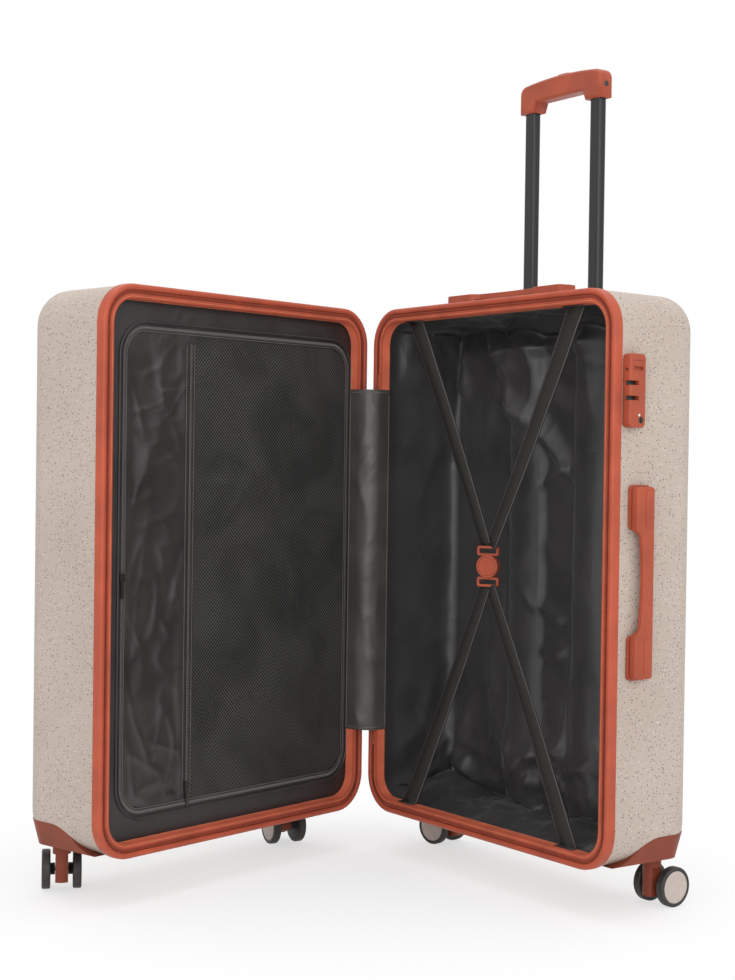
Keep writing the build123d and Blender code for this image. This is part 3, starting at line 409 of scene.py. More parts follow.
welt_finish = terracotta("welt_rubber", (175, 81, 58), 0.42, 900.0, 0.00012)
tape_finish = terracotta("zip_tape_weave", (174, 80, 57), 0.62, 1600.0, 0.0004)
# The turned-in band takes a lighter, glossier copy of the tape colour: painted light that brightens the band
# inside the rim.
binding_painted_light_finish = terracotta("turned_binding_painted_light", (206, 103, 76), 0.4, 1600.0, 0.0003)
# The coil is darker than the tape: partly its own colour, partly painted shade for the fine grooves along the rim.
coil_and_shade_finish = terracotta("zip_coil", (138, 60, 42), 0.45, 1200.0, 0.0001)
thread_finish = terracotta("rim_thread", (222, 142, 104), 0.6, 2000.0, 0.0001)
welt_profile = [(-0.0003, 0.0048), (-0.0003, 0.0138), (-0.0014, 0.0136), (-0.0014, 0.0045),
                (-0.0011, 0.0026), (-0.0002, 0.0013), (0.0014, 0.0008), (0.0036, 0.0008), (0.0054, 0.0014),
                (0.0063, 0.0030), (0.0064, 0.0048)]
tape_profile = [(0.0066, 0.0049), (0.0066, 0.0034), (0.0102, 0.0032), (0.0112, 0.0025), (0.0156, 0.0025),
                (0.0168, 0.0031), (0.0170, 0.0045), (0.0170, 0.0128), (0.0173, 0.0136), (0.0173, 0.0172),
                (0.0166, 0.0179), (0.0156, 0.0179), (0.0155, 0.0056)]
turned_from = 0.0044
stitch_pitch = 0.0036
stitch_rows = (("_front_stitches", (0.0026, 0.0006, 0.0005), 0.0140, 0.0024),
               ("_turned_stitches", (0.0026, 0.0005, 0.0007), 0.0174, 0.0153))
tooth_size, tooth_pitch, tooth_inset, tooth_depth = (0.0015, 0.0030, 0.0021), 0.0021, 0.0086, 0.0021
bare_x, bare_half = -0.2, 0.24
for half, matrix in halves:
    welt = piece_from(run_round(welt_profile, True), half + "_welt", matrix, 60)
    settle(welt, welt_finish, half + "_edge_trim")
    tape_round = run_round(tape_profile, True)
    # Faces of the turned-in band take the lighter copy of the tape colour, painted light.
    for face in tape_round.faces:
        if min(v.co.y for v in face.verts) > turned_from:
            face.material_index = 1
    tape = piece_from(tape_round, half + "_zip_tape", matrix, 50)
    add_on(tape, tape_finish, half)
    tape.data.materials.append(binding_painted_light_finish)
    for row, size, inset, depth in stitch_rows:
        sewn = strew(capsule(*size), rim_points(inset, stitch_pitch), depth)
        add_on(piece_from(sewn, half + row, matrix), thread_finish, half)
    teeth_places = [(spot, turn) for spot, turn in rim_points(tooth_inset, tooth_pitch)
                    if spot.x > bare_x or abs(spot.z - rim_mid_z) > bare_half]
    teeth = strew(capsule(*tooth_size), teeth_places, tooth_depth)
    settle(piece_from(teeth, half + "_zip_teeth", matrix), coil_and_shade_finish, half + "_zip")

# Sliders of the closing zip, parked at its two ends beside the gusset: painted metal plates with
# their pulls lying along the tape.
slider_finish = terracotta("slider_paint", (168, 82, 60), 0.35, 900.0, 0.0001)
for node in ("zip_slider_top", "zip_slider_bottom"):
    settle(cad_copy(node, node + "_plate"), slider_finish, node)

# Caster housings: moulded corner pieces in a darker terracotta under an S-shaped seam, each with a
# flat floor that takes the caster's stem. Their colour is darkened further as painted shade from under the case.
caster_shaded_finish = terracotta("caster_plastic", (128, 61, 41), 0.45, 1100.0, 0.0001)
for node in ("main_caster_housings", "lid_caster_housings"):
    settle(cad_copy(node, node + "_moulding"), caster_shaded_finish, node)

# Spinner casters: a swivelling fork on a collar, a steel pin, and two wheels of dark rubber-like
# plastic, each with a greige hub cap whose bevelled edge takes a paler copy of the cap's colour as a painted
# highlight.
def softened(node, name, width, segments=2):
    """A CAD node's own solid with its hard edges rounded off."""
    bm = cad_mesh(node)
    bmesh.ops.dissolve_limit(bm, angle_limit=radians(0.4), verts=bm.verts, edges=bm.edges)
    hard = [e for e in bm.edges if e.is_manifold and e.calc_face_angle() > radians(38)]
    bmesh.ops.bevel(bm, geom=hard, offset=width, affect="EDGES", segments=segments, profile=0.5,
                    material=-1, clamp_overlap=True)
    bmesh.ops.triangulate(bm, faces=[f for f in bm.faces if len(f.verts) > 4])
    piece = stand(bm, name, 50)
    piece.modifiers.new("even_shading", "WEIGHTED_NORMAL").keep_sharp = True
    return piece


def mottled(name, colour, roughness, specular, grain, tones, depth, strength):
    """A plain finish whose noise of (scale, detail) gives the bump, and the colour between two tones."""
    finish, nodes, links, shader = new_finish(name, paint(*colour), roughness, specular)
    speckle = texture(nodes, links, "ShaderNodeTexNoise", Scale=grain[0], Detail=grain[1])
    if tones:
        stops = [(place, paint(*tint)) for place, tint in zip((0.3, 0.7), tones)]
        links.new(tone(nodes, links, speckle.outputs["Fac"], stops), shader.inputs["Base Color"])
    relief(nodes, links, shader, speckle.outputs["Fac"], depth, strength)
    return finish


steel_finish = mottled("turned_steel", (168, 168, 166), 0.3, 0.5, (900.0, 1.0), None, 0.00005, 0.3)
steel_finish.node_tree.nodes["Principled BSDF"].inputs["Metallic"].default_value = 1.0
tyre_finish = mottled("wheel_tread", (56, 55, 53), 0.55, 0.35, (180.0, 5.0),
                      ((46, 45, 44), (64, 62, 60)), 0.0002, 0.3)
cap_finish = mottled("hub_cap", (190, 177, 168), 0.45, 0.4, (260.0, 4.0),
                     ((186, 173, 164), (195, 183, 175)), 0.0001, 0.2)
cap_highlight_and_dot_finish = mottled("hub_cap_edge_highlight_and_dot", (222, 214, 205), 0.35, 0.5, (400.0, 2.0), None, 0.0001, 0.2)
cap_r, cap_floor, cap_flat = 0.02003, 0.0035, 0.9
# The forks share the housings' darkened terracotta with its painted shade.
for caster in ("main_free_caster", "main_hinge_caster", "lid_free_caster", "lid_hinge_caster"):
    settle(softened(caster + "_fork", caster + "_fork_moulding", 0.0009), caster_shaded_finish, caster + "_fork")
    settle(cad_copy(caster + "_axle", caster + "_pin"), steel_finish, caster + "_axle")
    for side in ("a", "b"):
        node = f"{caster}_wheel_{side}"
        roll_joint = next(j for j in frame["joints"] if j["name"] == node + "_roll")
        hub, way = Vector(roll_joint["pos_m"]), Vector(roll_joint["axis"]).normalized()
        wheel = cad_copy(node, node + "_tread")
        settle(wheel, tyre_finish, node)
        wheel.data.materials.append(cap_finish)
        wheel.data.materials.append(cap_highlight_and_dot_finish)
        # Cap faces that face straight out take the cap colour; the slanting bevel faces take the paler colour, a
        # painted highlight.
        outward = way if side == "a" else -way
        for face in wheel.data.polygons:
            reach = [wheel.data.vertices[i].co - hub for i in face.vertices]
            spread = max((r - way * r.dot(way)).length for r in reach)
            height = min(r.dot(outward) for r in reach)
            if spread < cap_r and height > cap_floor:
                face.material_index = 1 if face.normal.dot(outward) > cap_flat else 2

# Trolley: anodised tubes drawn out of the shell, a terracotta grip moulded over their ends with a black disc
# in each end as painted shade for a screw hole, its push button, and the bezel that guides the tubes.
tube_finish, nodes, links, shader = new_finish("black_anodised", paint(27, 27, 28), 0.26, 0.4)
lengthways = texture(nodes, links, "ShaderNodeMapping")
lengthways.inputs["Scale"].default_value = (900, 900, 6)
drawn = node_with(nodes, "ShaderNodeTexNoise", Scale=1.0, Detail=3.0)
links.new(lengthways.outputs["Vector"], drawn.inputs["Vector"])
links.new(tone(nodes, links, drawn.outputs["Fac"], [(0.25, paint(22, 22, 23)), (0.75, paint(32, 32, 33))]),
          shader.inputs["Base Color"])
relief(nodes, links, shader, drawn.outputs["Fac"], 0.00004, 0.2)
for node in ("trolley_inner_tubes", "trolley_outer_tubes"):
    settle(cad_copy(node, node + "_drawn"), tube_finish, node)

# Black plastic for the feet, the end plugs and the key cylinder; the same black also serves as painted shade in
# the grip's screw holes, the lock's slots and its reset hole.
black_and_shade_finish = mottled("black_plastic", (34, 34, 35), 0.45, 0.5, (1300.0, 2.0),
                       ((28, 28, 29), (42, 42, 43)), 0.00012, 0.4)
for node in ("trolley_feet", "trolley_end_plugs"):
    settle(cad_copy(node, node + "_moulding"), black_and_shade_finish, node)
settle(cad_copy("trolley_push_rods", "trolley_push_rods_drawn"), steel_finish, "trolley_push_rods")

hard_finish = terracotta("terracotta_plastic", (164, 77, 54), 0.4, 1000.0, 0.00012)
settle(cad_copy("trolley_grip", "trolley_grip_moulding", 50), hard_finish, "trolley_grip")
settle(cad_copy("grip_button", "grip_button_moulding"), hard_finish, "grip_button")
settle(softened("trolley_bezel", "trolley_bezel_moulding", 0.0007), hard_finish, "trolley_bezel")


def disc(segments, radius, rim):
    """A flat disc with a slightly raised middle, facing up."""
    bm = bmesh.new()
    bmesh.ops.create_circle(bm, cap_ends=True, segments=segments, radius=radius)
    bmesh.ops.inset_region(bm, faces=bm.faces[:], thickness=rim, depth=0.0002)
    return bm


grip_low, grip_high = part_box("trolley_grip")
# A black disc on each end of the grip, painted shade standing for a screw hole.
hole_shade_proud, hole_shade_rise = 0.00015, 0.018
for end, x, way in (("free", grip_high.x, 1), ("hinge", grip_low.x, -1)):
    spot = Vector((x + way * hole_shade_proud, (grip_low.y + grip_high.y) / 2, grip_low.z + hole_shade_rise))
    sideways = Matrix.Translation(spot) @ Matrix.Rotation(way * pi / 2, 4, "Y")
    hole_shade = piece_from(disc(20, 0.0036, 0.0008), f"grip_{end}_screw", sideways)
    add_on(hole_shade, black_and_shade_finish, "trolley")

# Carry handles on the top and the free side: two bases screwed through the shell, a waisted
# handle that lifts on its studs, and a cap plate let into each end.
cap_size, cap_corner, cap_lip, cap_reach, cap_set_in = (0.046, 0.013, 0.0016), 0.0055, 0.0006, 0.0885, 0.0062
depth = Vector((0, 1, 0))
for which, across, outward in (("top_handle", Vector((1, 0, 0)), Vector((0, 0, 1))),
                               ("side_handle", Vector((0, 0, 1)), Vector((1, 0, 0)))):
    settle(softened(which + "_brackets", which + "_bases", 0.0009), hard_finish, which + "_brackets")
    settle(softened(which, which + "_moulding", 0.0022, 3), hard_finish, which)
    low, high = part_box(which)
    face = (low + high) / 2 + outward * ((high - low).dot(outward) / 2)
    turn = Matrix((across, depth, outward)).transposed().to_4x4()
    for end, name in ((-1, "near"), (1, "far")):
        bm = block(cap_size)
        upright = [e for e in bm.edges if abs(e.verts[0].co.z - e.verts[1].co.z) > 0.001]
        round_off(bm, upright, cap_corner, 5)
        round_off(bm, [e for e in bm.edges if all(v.co.z > 0 for v in e.verts)], cap_lip, 2)
        spot = face + across * end * cap_reach + depth * cap_set_in
        cap = piece_from(bm, f"{which}_cap_{name}", Matrix.Translation(spot) @ turn)
        add_on(cap, hard_finish, which)

# Combination lock on the free side: a moulded body with a thin black plate in each slot for the zip pulls,
# painted shade that makes the slots read deep, three thumb dials that stand out of its far edge, a release
# slide and a key cylinder. A small pale index dot is marked on it, and a black disc is painted shade for the reset
# hole.
settle(softened("lock_body", "lock_body_moulding", 0.0007), hard_finish, "lock_body")
settle(softened("lock_release", "lock_release_moulding", 0.0006), hard_finish, "lock_release")
settle(softened("lock_cylinder", "lock_cylinder_plug", 0.0003), black_and_shade_finish, "lock_cylinder")
for number in (1, 2, 3):
    node = f"lock_dial_{number}"
    settle(softened(node, node + "_wheel", 0.0006), hard_finish, node)
lock_low, lock_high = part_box("lock_body")
slot_shade_size, slot_shade_in, slot_shade_pitch = (0.0014, 0.0134, 0.0051), 0.0072, 0.018
# A thin black plate in each slot, painted shade that makes the slot read deep.
for name, side in (("upper", 1), ("lower", -1)):
    bm = block(slot_shade_size)
    round_off(bm, bm.edges[:], 0.0003, 1)
    spot = Vector((lock_high.x - slot_shade_in, lock_low.y + slot_shade_in,
                   (lock_low.z + lock_high.z) / 2 + side * slot_shade_pitch / 2))
    slot_shade = piece_from(bm, f"lock_{name}_catch", Matrix.Translation(spot))
    add_on(slot_shade, black_and_shade_finish, "main")
dot_spot = (lock_high.x + 0.0001, lock_low.y + 0.0150, lock_low.z + 0.0150)
hole_spot = (lock_low.x + 0.0070, lock_low.y - 0.0001, lock_high.z - 0.0190)
# The reset hole is a black disc, painted shade for the hole itself.
for name, spot, axis, radius, finish in (("index_dot", dot_spot, "Y", 0.0016, cap_highlight_and_dot_finish),
                                         ("reset_hole", hole_spot, "X", 0.0017, black_and_shade_finish)):
    matrix = Matrix.Translation(spot) @ Matrix.Rotation(pi / 2, 4, axis)
    mark = piece_from(disc(16, radius, radius * 0.3), "lock_" + name, matrix)
    add_on(mark, finish, "main")

# Lining of each half: slick black nylon hung from the rim's tape, a wall strip sewn to a back
# panel, slack and creased, rising in two soft ridges over the trolley tubes in the main half.
def nylon(name, dark, pale, roughness, fold=0.0016):
    """Slick black cloth with a fine weave, small creases and a slow sheen."""
    finish, nodes, links, shader = new_finish(name, paint(*dark), roughness, 0.5)
    shader.inputs["Sheen Weight"].default_value = 0.12
    shader.inputs["Sheen Roughness"].default_value = 0.4
    drift = texture(nodes, links, "ShaderNodeTexNoise", Scale=14.0, Detail=5.0)
    links.new(tone(nodes, links, drift.outputs["Fac"], [(0.3, paint(*dark)), (0.7, paint(*pale))]),
              shader.inputs["Base Color"])
    shine = node_with(nodes, "ShaderNodeMapRange", To_Min=roughness - 0.1, To_Max=roughness + 0.12)
    links.new(drift.outputs["Fac"], shine.inputs["Value"])
    links.new(shine.outputs["Result"], shader.inputs["Roughness"])
    weave = texture(nodes, links, "ShaderNodeTexVoronoi", Scale=1800.0)
    threads = relief(nodes, links, shader, weave.outputs["Distance"], 0.0001, 0.25)
    rumple = texture(nodes, links, "ShaderNodeTexNoise", Scale=9.0, Detail=2.0, Distortion=0.8)
    crests = [(0.36, (0, 0, 0, 1)), (0.5, (1, 1, 1, 1)), (0.66, (0, 0, 0, 1))]
    relief(nodes, links, threads, tone(nodes, links, rumple.outputs["Fac"], crests), fold, 0.5)
    return finish


def share(value):
    """A value held between nought and one."""
    return min(1.0, max(0.0, value))


def crease(spot, stretch, seed):
    """Sharp soft-backed folds, long in the direction that stretch shortens."""
    wander = Vector([noise.noise(spot * 5 + Vector(away))
                     for away in ((seed, 0, 9), (7, seed, 0), (0, 5, seed))])
    bent = spot + wander * 0.05
    value = noise.noise(Vector((bent.x * stretch[0] + bent.z * 2, bent.y * stretch[1],
                                bent.z * stretch[2] - bent.x * 2)) + Vector((seed, seed, 0)))
    return max(0.0, 1 - 3.0 * abs(value)) ** 1.5


def laid_fold(spot):
    """How far the folds that hang across the lining lift it at a spot, each steep on one side."""
    rise = 0.0
    for line, height, width in laid_folds:
        best = 0.0
        for start, end in zip(line, line[1:]):
            run = end - start
            gone = share((spot - start).dot(run) / run.length_squared)
            off = spot - start - run * gone
            steep = run.cross(off).dot(Vector((0.5, -0.8, 0))) < 0
            best = max(best, height * max(0.0, 1 - off.length / (width * (0.45 if steep else 1.0))) ** 1.4)
        rise += best
    return rise


laid_folds = [([Vector(spot) for spot in line], height, width) for height, width, *line in (
    (0.012, 0.034, (-0.226, 0.09, 0.722), (-0.222, 0.12, 0.695), (-0.205, 0.136, 0.655)),
    (0.016, 0.04, (-0.15, 0.12, 0.733), (-0.114, 0.136, 0.703), (-0.093, 0.136, 0.665),
     (-0.083, 0.136, 0.615)),
    (0.012, 0.026, (-0.107, 0.136, 0.697), (-0.038, 0.136, 0.704), (0.06, 0.136, 0.706)),
    (0.014, 0.032, (-0.099, 0.136, 0.627), (-0.048, 0.136, 0.602), (-0.022, 0.136, 0.573),
     (0.017, 0.136, 0.537)),
    (0.01, 0.024, (-0.07, 0.136, 0.486), (-0.033, 0.136, 0.516), (0.009, 0.136, 0.533)),
    (0.01, 0.024, (-0.064, 0.136, 0.416), (-0.072, 0.136, 0.387), (-0.042, 0.136, 0.354),
     (0.003, 0.136, 0.339)),
    (0.01, 0.022, (-0.076, 0.136, 0.292), (-0.04, 0.136, 0.29), (0.005, 0.136, 0.291)),
    (0.012, 0.03, (-0.226, 0.136, 0.168), (-0.226, 0.117, 0.129), (-0.226, 0.079, 0.102),
     (-0.226, 0.03, 0.086)),
    (0.014, 0.03, (-0.215, 0.137, 0.117), (-0.166, 0.136, 0.095), (-0.079, 0.11, 0.083)),
    (0.012, 0.026, (-0.079, 0.1, 0.08), (-0.04, 0.12, 0.085), (0.04, 0.112, 0.082)),
    (0.012, 0.028, (-0.072, 0.136, 0.111), (-0.043, 0.136, 0.145), (0.008, 0.136, 0.162)))]
lining_finish = nylon("lining_nylon", (52, 51, 52), (64, 62, 63), 0.38)
wall_profile = [(0.0153, 0.0150), (0.0150, 0.0185), (0.0130, 0.0240), (0.0105, 0.0300), (0.0092, 0.0360)]
wall_profile += [(0.0087 + 0.014 * step / 1000, 0.0406 + 0.005 * step) for step in range(17)]
turn_r = 0.02
wall_end = wall_profile[-1]
wall_profile += [(wall_end[0] + turn_r * (1 - cos(a)), wall_end[1] + turn_r * sin(a))
                 for a in [radians(15 * k) for k in range(1, 7)]]
back_inset, back_depth = wall_profile[-1]
lap, cell = 0.006, 0.006
panel_w, panel_h = rim_half_w - back_inset + lap, rim_half_h - back_inset + lap
panel_place = (Matrix.Translation((0, back_depth - 0.0006, rim_mid_z)) @ Matrix.Rotation(pi / 2, 4, "X")
               @ Matrix.Diagonal((panel_w, panel_h, 1, 1)))
boss_x, boss_y, boss_top = 0.202, 0.120, 0.0945
bezel_half, bezel_front, bezel_low = 0.104, 0.1215, 0.7330
tube_x, tube_lift, tube_reach = 0.065, 0.0175, 0.036
for half, matrix in halves:
    wall = run_round(wall_profile, False, steps=14)
    for axis in (0, 2):
        long = [e for e in wall.edges if abs(e.verts[0].co[axis] - e.verts[1].co[axis]) > 0.3]
        bmesh.ops.subdivide_edges(wall, edges=long, cuts=int(long[0].calc_length() / cell), use_grid_fill=True)
    panel = set(bmesh.ops.create_grid(wall, x_segments=120, y_segments=170, size=1,
                                      matrix=panel_place)["verts"])
    for vert in wall.verts:
        spot = vert.co.copy()
        ends = share((abs(spot.z - rim_mid_z) - 0.13) / 0.19)
        slack = (crease(spot, (7, 7, 3), 3.1) + crease(spot, (12, 11, 8), 7.7) * 0.6
                 + crease(spot, (5, 5, 14), 5.2) * 0.45
                 + crease(spot, (22, 20, 17), 1.3) * 0.15 * ends) * (0.3 + 0.95 * ends)
        low = max(0.0, 1 - (spot.z - 0.07) / 0.11)
        slack += 0.55 * low * crease(spot, (24, 22, 20), 2.2)
        laid = laid_fold(spot)
        ripple = 0.0009 * noise.noise(spot * 32)
        ridge = 0.0
        if half == "main":
            ridge = tube_lift * max(0.0, 1 - (abs(abs(spot.x) - tube_x) / tube_reach) ** 2) ** 0.6
        if vert in panel:
            edge = min(panel_w - abs(spot.x), panel_h - abs(spot.z - rim_mid_z))
            lift = (0.012 * slack + ripple) * share(edge / 0.03) + laid * share(edge / 0.01)
            vert.co.y -= (max(0.0, lift) ** 2 + ridge ** 2) ** 0.5
        else:
            deep = share((spot.y - 0.03) / 0.04) * share((back_depth + 0.006 - spot.y) / 0.02)
            inward = Vector((-spot.x / rim_half_w, 0, -(spot.z - rim_mid_z) / rim_half_h))
            side = Vector((inward.x, 0, 0)) if abs(inward.x) > abs(inward.z) else Vector((0, 0, inward.z))
            vert.co += side.normalized() * (0.009 * slack + ripple + 0.8 * laid) * deep
        boss = ((abs(vert.co.x) - boss_x) ** 2 + (vert.co.y - boss_y) ** 2) ** 0.5
        vert.co.z = max(vert.co.z, boss_top - 0.38 * max(0.0, boss - 0.02) + 0.006 * slack)
        if half == "main":
            vert.co.y = min(vert.co.y, back_depth - ridge)
            over = max(0.0, 1 - max(0.0, abs(vert.co.x) - bezel_half) / 0.02)
            excess = vert.co.y - bezel_front + vert.co.z - bezel_low
            if excess > 0 and vert.co.y > 0.1:
                vert.co.y -= excess / 2 * over
                vert.co.z -= excess / 2 * over
    lining = piece_from(wall, half + "_lining_cloth", matrix, 180)
    settle(lining, lining_finish, half + "_lining")

# Cross straps: flat black webbing with a thin pale edge thread, from the lining's corners to the
# buckle's rings, their outer ends turned forward as tabs.
strap_finish, nodes, links, shader = new_finish("black_webbing", paint(50, 49, 48), 0.8, 0.2)
split = nodes.new("ShaderNodeSeparateXYZ")
links.new(node_with(nodes, "ShaderNodeUVMap", uv_map="strap").outputs["UV"], split.inputs["Vector"])
ribs = node_with(nodes, "ShaderNodeMath", operation="MULTIPLY")
ribs.inputs[1].default_value = 3200.0
links.new(split.outputs["Y"], ribs.inputs[0])
rib = node_with(nodes, "ShaderNodeMath", operation="SINE")
links.new(ribs.outputs["Value"], rib.inputs[0])
margin, thread, middle = paint(50, 49, 48), paint(108, 106, 101), paint(48, 47, 46)
stripes = [(0.0, margin), (0.03, margin), (0.04, thread), (0.065, thread), (0.075, middle),
           (0.925, middle), (0.935, thread), (0.96, thread), (0.97, margin), (1.0, margin)]
links.new(tone(nodes, links, split.outputs["X"], stripes), shader.inputs["Base Color"])
relief(nodes, links, shader, rib.outputs["Value"], 0.0003, 0.5)
strap_w, strap_spread, strap_depth, strap_gap = 0.028, 0.162, 0.015, 0.0009
buckle_z, ring_reach, ring_x, ring_share = 0.414, 0.0265, 0.004, 0.73
tab_length, strap_bow = 0.009, 0.0022
for which, ring_z, end_z in (("upper_straps", buckle_z + ring_reach, 0.7422),
                             ("lower_straps", buckle_z - ring_reach, 0.0778)):
    bm = bmesh.new()
    uv = bm.loops.layers.uv.new("strap")
    for side, depth in ((-1, strap_depth - strap_gap), (1, strap_depth + strap_gap)):
        start, end = Vector((side * ring_x, depth, ring_z)), Vector((side * strap_spread, depth, end_z))
        run = end - start
        broad = Vector((run.z, 0, -run.x)).normalized() * strap_w / 2
        slant = run * (broad.z / run.z)
        corners = [bm.verts.new(start + broad * ring_share), bm.verts.new(start - broad * ring_share),
                   bm.verts.new(end - broad + slant), bm.verts.new(end + broad - slant)]
        face = bm.faces.new(corners)
        for loop, place_uv in zip(face.loops, ((0, 0), (1, 0), (1, run.length), (0, run.length))):
            loop[uv].uv = place_uv
    lengthwise = [e for e in bm.edges if e.calc_length() > 0.1]
    bmesh.ops.subdivide_edges(bm, edges=lengthwise, cuts=30, use_grid_fill=True)
    for vert in bm.verts:
        drift = abs(vert.co.z - ring_z) / abs(end_z - ring_z)
        vert.co.y += strap_bow * sin(pi * drift) + 0.0006 * noise.noise(vert.co * 20)
    ends = [e for e in bm.edges if all(abs(v.co.z - end_z) < 0.0001 for v in e.verts)]
    grown = bmesh.ops.extrude_edge_only(bm, edges=ends)["geom"]
    bmesh.ops.translate(bm, verts=[v for v in grown if isinstance(v, bmesh.types.BMVert)],
                        vec=(0, -tab_length, 0))
    straps = piece_from(bm, which + "_webbing", main_place, 180)
    thick = straps.modifiers.new("webbing_thickness", "SOLIDIFY")
    thick.thickness = 0.0012
    thick.offset = 0
    if which == "upper_straps":
        settle(straps, strap_finish, which)
    else:
        straps.data.materials.append(strap_finish)
        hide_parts(which)
        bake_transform(straps)

# Side-release buckle in the middle of the cross: a socket with a round press button and a prong,
# each with a slotted ring for its straps.
for node, width in (("buckle_socket", 0.0006), ("buckle_prong", 0.0006), ("buckle_button", 0.0005)):
    settle(softened(node, node + "_moulding", width), hard_finish, node)

# Hinge gusset: a leaf of coated black cloth sewn to both halves' turned-in tapes, in front of their
# rims, hemmed and stitched across its ends.
gusset_finish = nylon("gusset_coated_cloth", (56, 53, 51), (74, 70, 67), 0.36)
grey_thread = new_finish("grey_thread", paint(128, 124, 119), 0.6, 0.3)[0]
gusset_low, gusset_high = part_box("hinge_gusset")
lid_turn = Matrix.Rotation(-open_angle, 3, "Z")
half_path = [(0.0238, 0.0176), (0.0238, 0.0130), (0.0238, 0.0085), (0.0238, 0.0040), (0.0237, 0.0008)]
main_side = [hinge + Vector((x, y, 0)) for x, y in half_path]
lid_side = [hinge + lid_turn @ Vector((x, -y, 0)) for x, y in half_path]
between = (main_side[-1] + lid_side[-1]) / 2
out_way = (between - hinge).normalized()
control = (hinge + out_way * 0.0221) * 2 - between
arch = [main_side[-1] * (1 - t) ** 2 + control * 2 * t * (1 - t) + lid_side[-1] * t ** 2
        for t in [k / 14 for k in range(1, 14)]]
bm = bmesh.new()
line = [bm.verts.new((spot.x, spot.y, gusset_low.z)) for spot in main_side + arch + lid_side[::-1]]
edges = [bm.edges.new(pair) for pair in zip(line, line[1:])]
grown = bmesh.ops.extrude_edge_only(bm, edges=edges)["geom"]
bmesh.ops.translate(bm, verts=[v for v in grown if isinstance(v, bmesh.types.BMVert)],
                    vec=(0, 0, gusset_high.z - gusset_low.z))
tall = [e for e in bm.edges if abs(e.verts[0].co.z - e.verts[1].co.z) > 0.1]
bmesh.ops.subdivide_edges(bm, edges=tall, cuts=110, use_grid_fill=True)
for vert in bm.verts:
    fold = crease(vert.co, (20, 20, 4), 1.7) * 0.8 + crease(vert.co, (8, 8, 11), 4.4) * 0.5
    middle = min((vert.co - main_side[0]).to_2d().length, (vert.co - lid_side[0]).to_2d().length) / 0.02
    ends = min(vert.co.z - gusset_low.z, gusset_high.z - vert.co.z) / 0.012
    push = 0.0026 * fold + 0.0004 * noise.noise(vert.co * 70)
    vert.co += out_way * push * min(1.0, middle) * min(1.0, ends)
hem, thread_proud = 0.004, 0.0003
stitch = capsule(0.0024, 0.0006, 0.0008)
small = bpy.data.meshes.new("small")
stitch.to_mesh(small)
stitch.free()
across = main_side[1:] + arch + lid_side[:0:-1]
for level in (gusset_low.z + hem, gusset_high.z - hem):
    for before, after in zip(across, across[1:]):
        first, faces = len(bm.verts), len(bm.faces)
        bm.from_mesh(small)
        bm.verts.ensure_lookup_table()
        bm.faces.ensure_lookup_table()
        heading = (after - before).to_2d().angle_signed(Vector((1, 0)))
        spot = (before + after) / 2 + out_way * thread_proud + Vector((0, 0, level))
        bmesh.ops.transform(bm, verts=bm.verts[first:],
                            matrix=Matrix.Translation(spot) @ Matrix.Rotation(heading, 4, "Z"))
        for face in bm.faces[faces:]:
            face.material_index = 1
bpy.data.meshes.remove(small)
gusset = piece_from(bm, "hinge_gusset_leaf", Matrix.Identity(4), 180)
gusset.data.materials.append(gusset_finish)
gusset.data.materials.append(grey_thread)
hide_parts("hinge_gusset")
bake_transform(gusset)


def upright_row(x, half, pitch):
    """Places and headings at a pitch up a straight line of a half length about the rim's middle."""
    count = int(2 * half / pitch)
    return [(Vector((x, 0, rim_mid_z - half + pitch * k)), pi / 2) for k in range(count)]


for half, matrix in halves:
    row = strew(capsule(0.0024, 0.0008, 0.0006), upright_row(-rim_half_w + 0.0182, 0.235, stitch_pitch), 0.0158)
    add_on(piece_from(row, half + "_gusset_seam", matrix), grey_thread, half)

# Divider in the lid: a sewn border of slick cloth with a corded edge, and a door with a perimeter
# zip, a slack pocket panel and a panel of fine knitted mesh either side of the pocket's own zip.
divider_finish = nylon("divider_nylon", (34, 32, 32), (46, 43, 43), 0.45)
pocket_finish = nylon("pocket_nylon", (42, 41, 40), (54, 52, 51), 0.34, 0.0012)
# The black coil is coloured mid grey, a painted highlight along the divider's and pocket's zips.
zip_highlight_finish = new_finish("black_zip_coil_painted_highlight", paint(92, 90, 88), 0.32)[0]
mesh_finish, nodes, links, shader = new_finish("knitted_mesh", paint(42, 42, 41), 0.8, 0.25)
lie = texture(nodes, links, "ShaderNodeMapping")
lie.inputs["Rotation"].default_value = (0, 0, open_angle)
slant = node_with(nodes, "ShaderNodeMapping")
slant.inputs["Rotation"].default_value = (pi / 2, 0, pi / 4)
links.new(lie.outputs["Vector"], slant.inputs["Vector"])
holes = node_with(nodes, "ShaderNodeTexVoronoi", voronoi_dimensions="2D", Scale=270.0, Randomness=0.05)
links.new(slant.outputs["Vector"], holes.inputs["Vector"])
knit = tone(nodes, links, holes.outputs["Distance"], [(0.24, paint(12, 12, 12)), (0.5, paint(76, 75, 73))])
# Slow noise multiplies the knit colour down in broad patches: painted shade of the mesh's slack folds.
fold_shade_noise = node_with(nodes, "ShaderNodeTexNoise", Scale=8.0, Detail=3.0, Distortion=1.2)
links.new(lie.outputs["Vector"], fold_shade_noise.inputs["Vector"])
shade = tone(nodes, links, fold_shade_noise.outputs["Fac"], [(0.36, paint(206, 206, 206)), (0.62, paint(255, 255, 255))])
shaded = node_with(nodes, "ShaderNodeMix", data_type="RGBA", blend_type="MULTIPLY")
shaded.inputs["Factor"].default_value = 1.0
links.new(knit, shaded.inputs["A"])
links.new(shade, shaded.inputs["B"])
links.new(shaded.outputs["Result"], shader.inputs["Base Color"])
relief(nodes, links, shader, holes.outputs["Distance"], 0.0006, 0.6)
for node in ("divider_border", "divider_panel"):
    settle(cad_copy(node, node + "_cloth"), divider_finish, node)
door = dict(half_w=0.2135, half_h=0.304, corner=0.038, mid=(-0.0115, rim_mid_z))
door_depth, door_coil_pitch, door_stitch_pitch = 0.0183, 0.0019, 0.0034
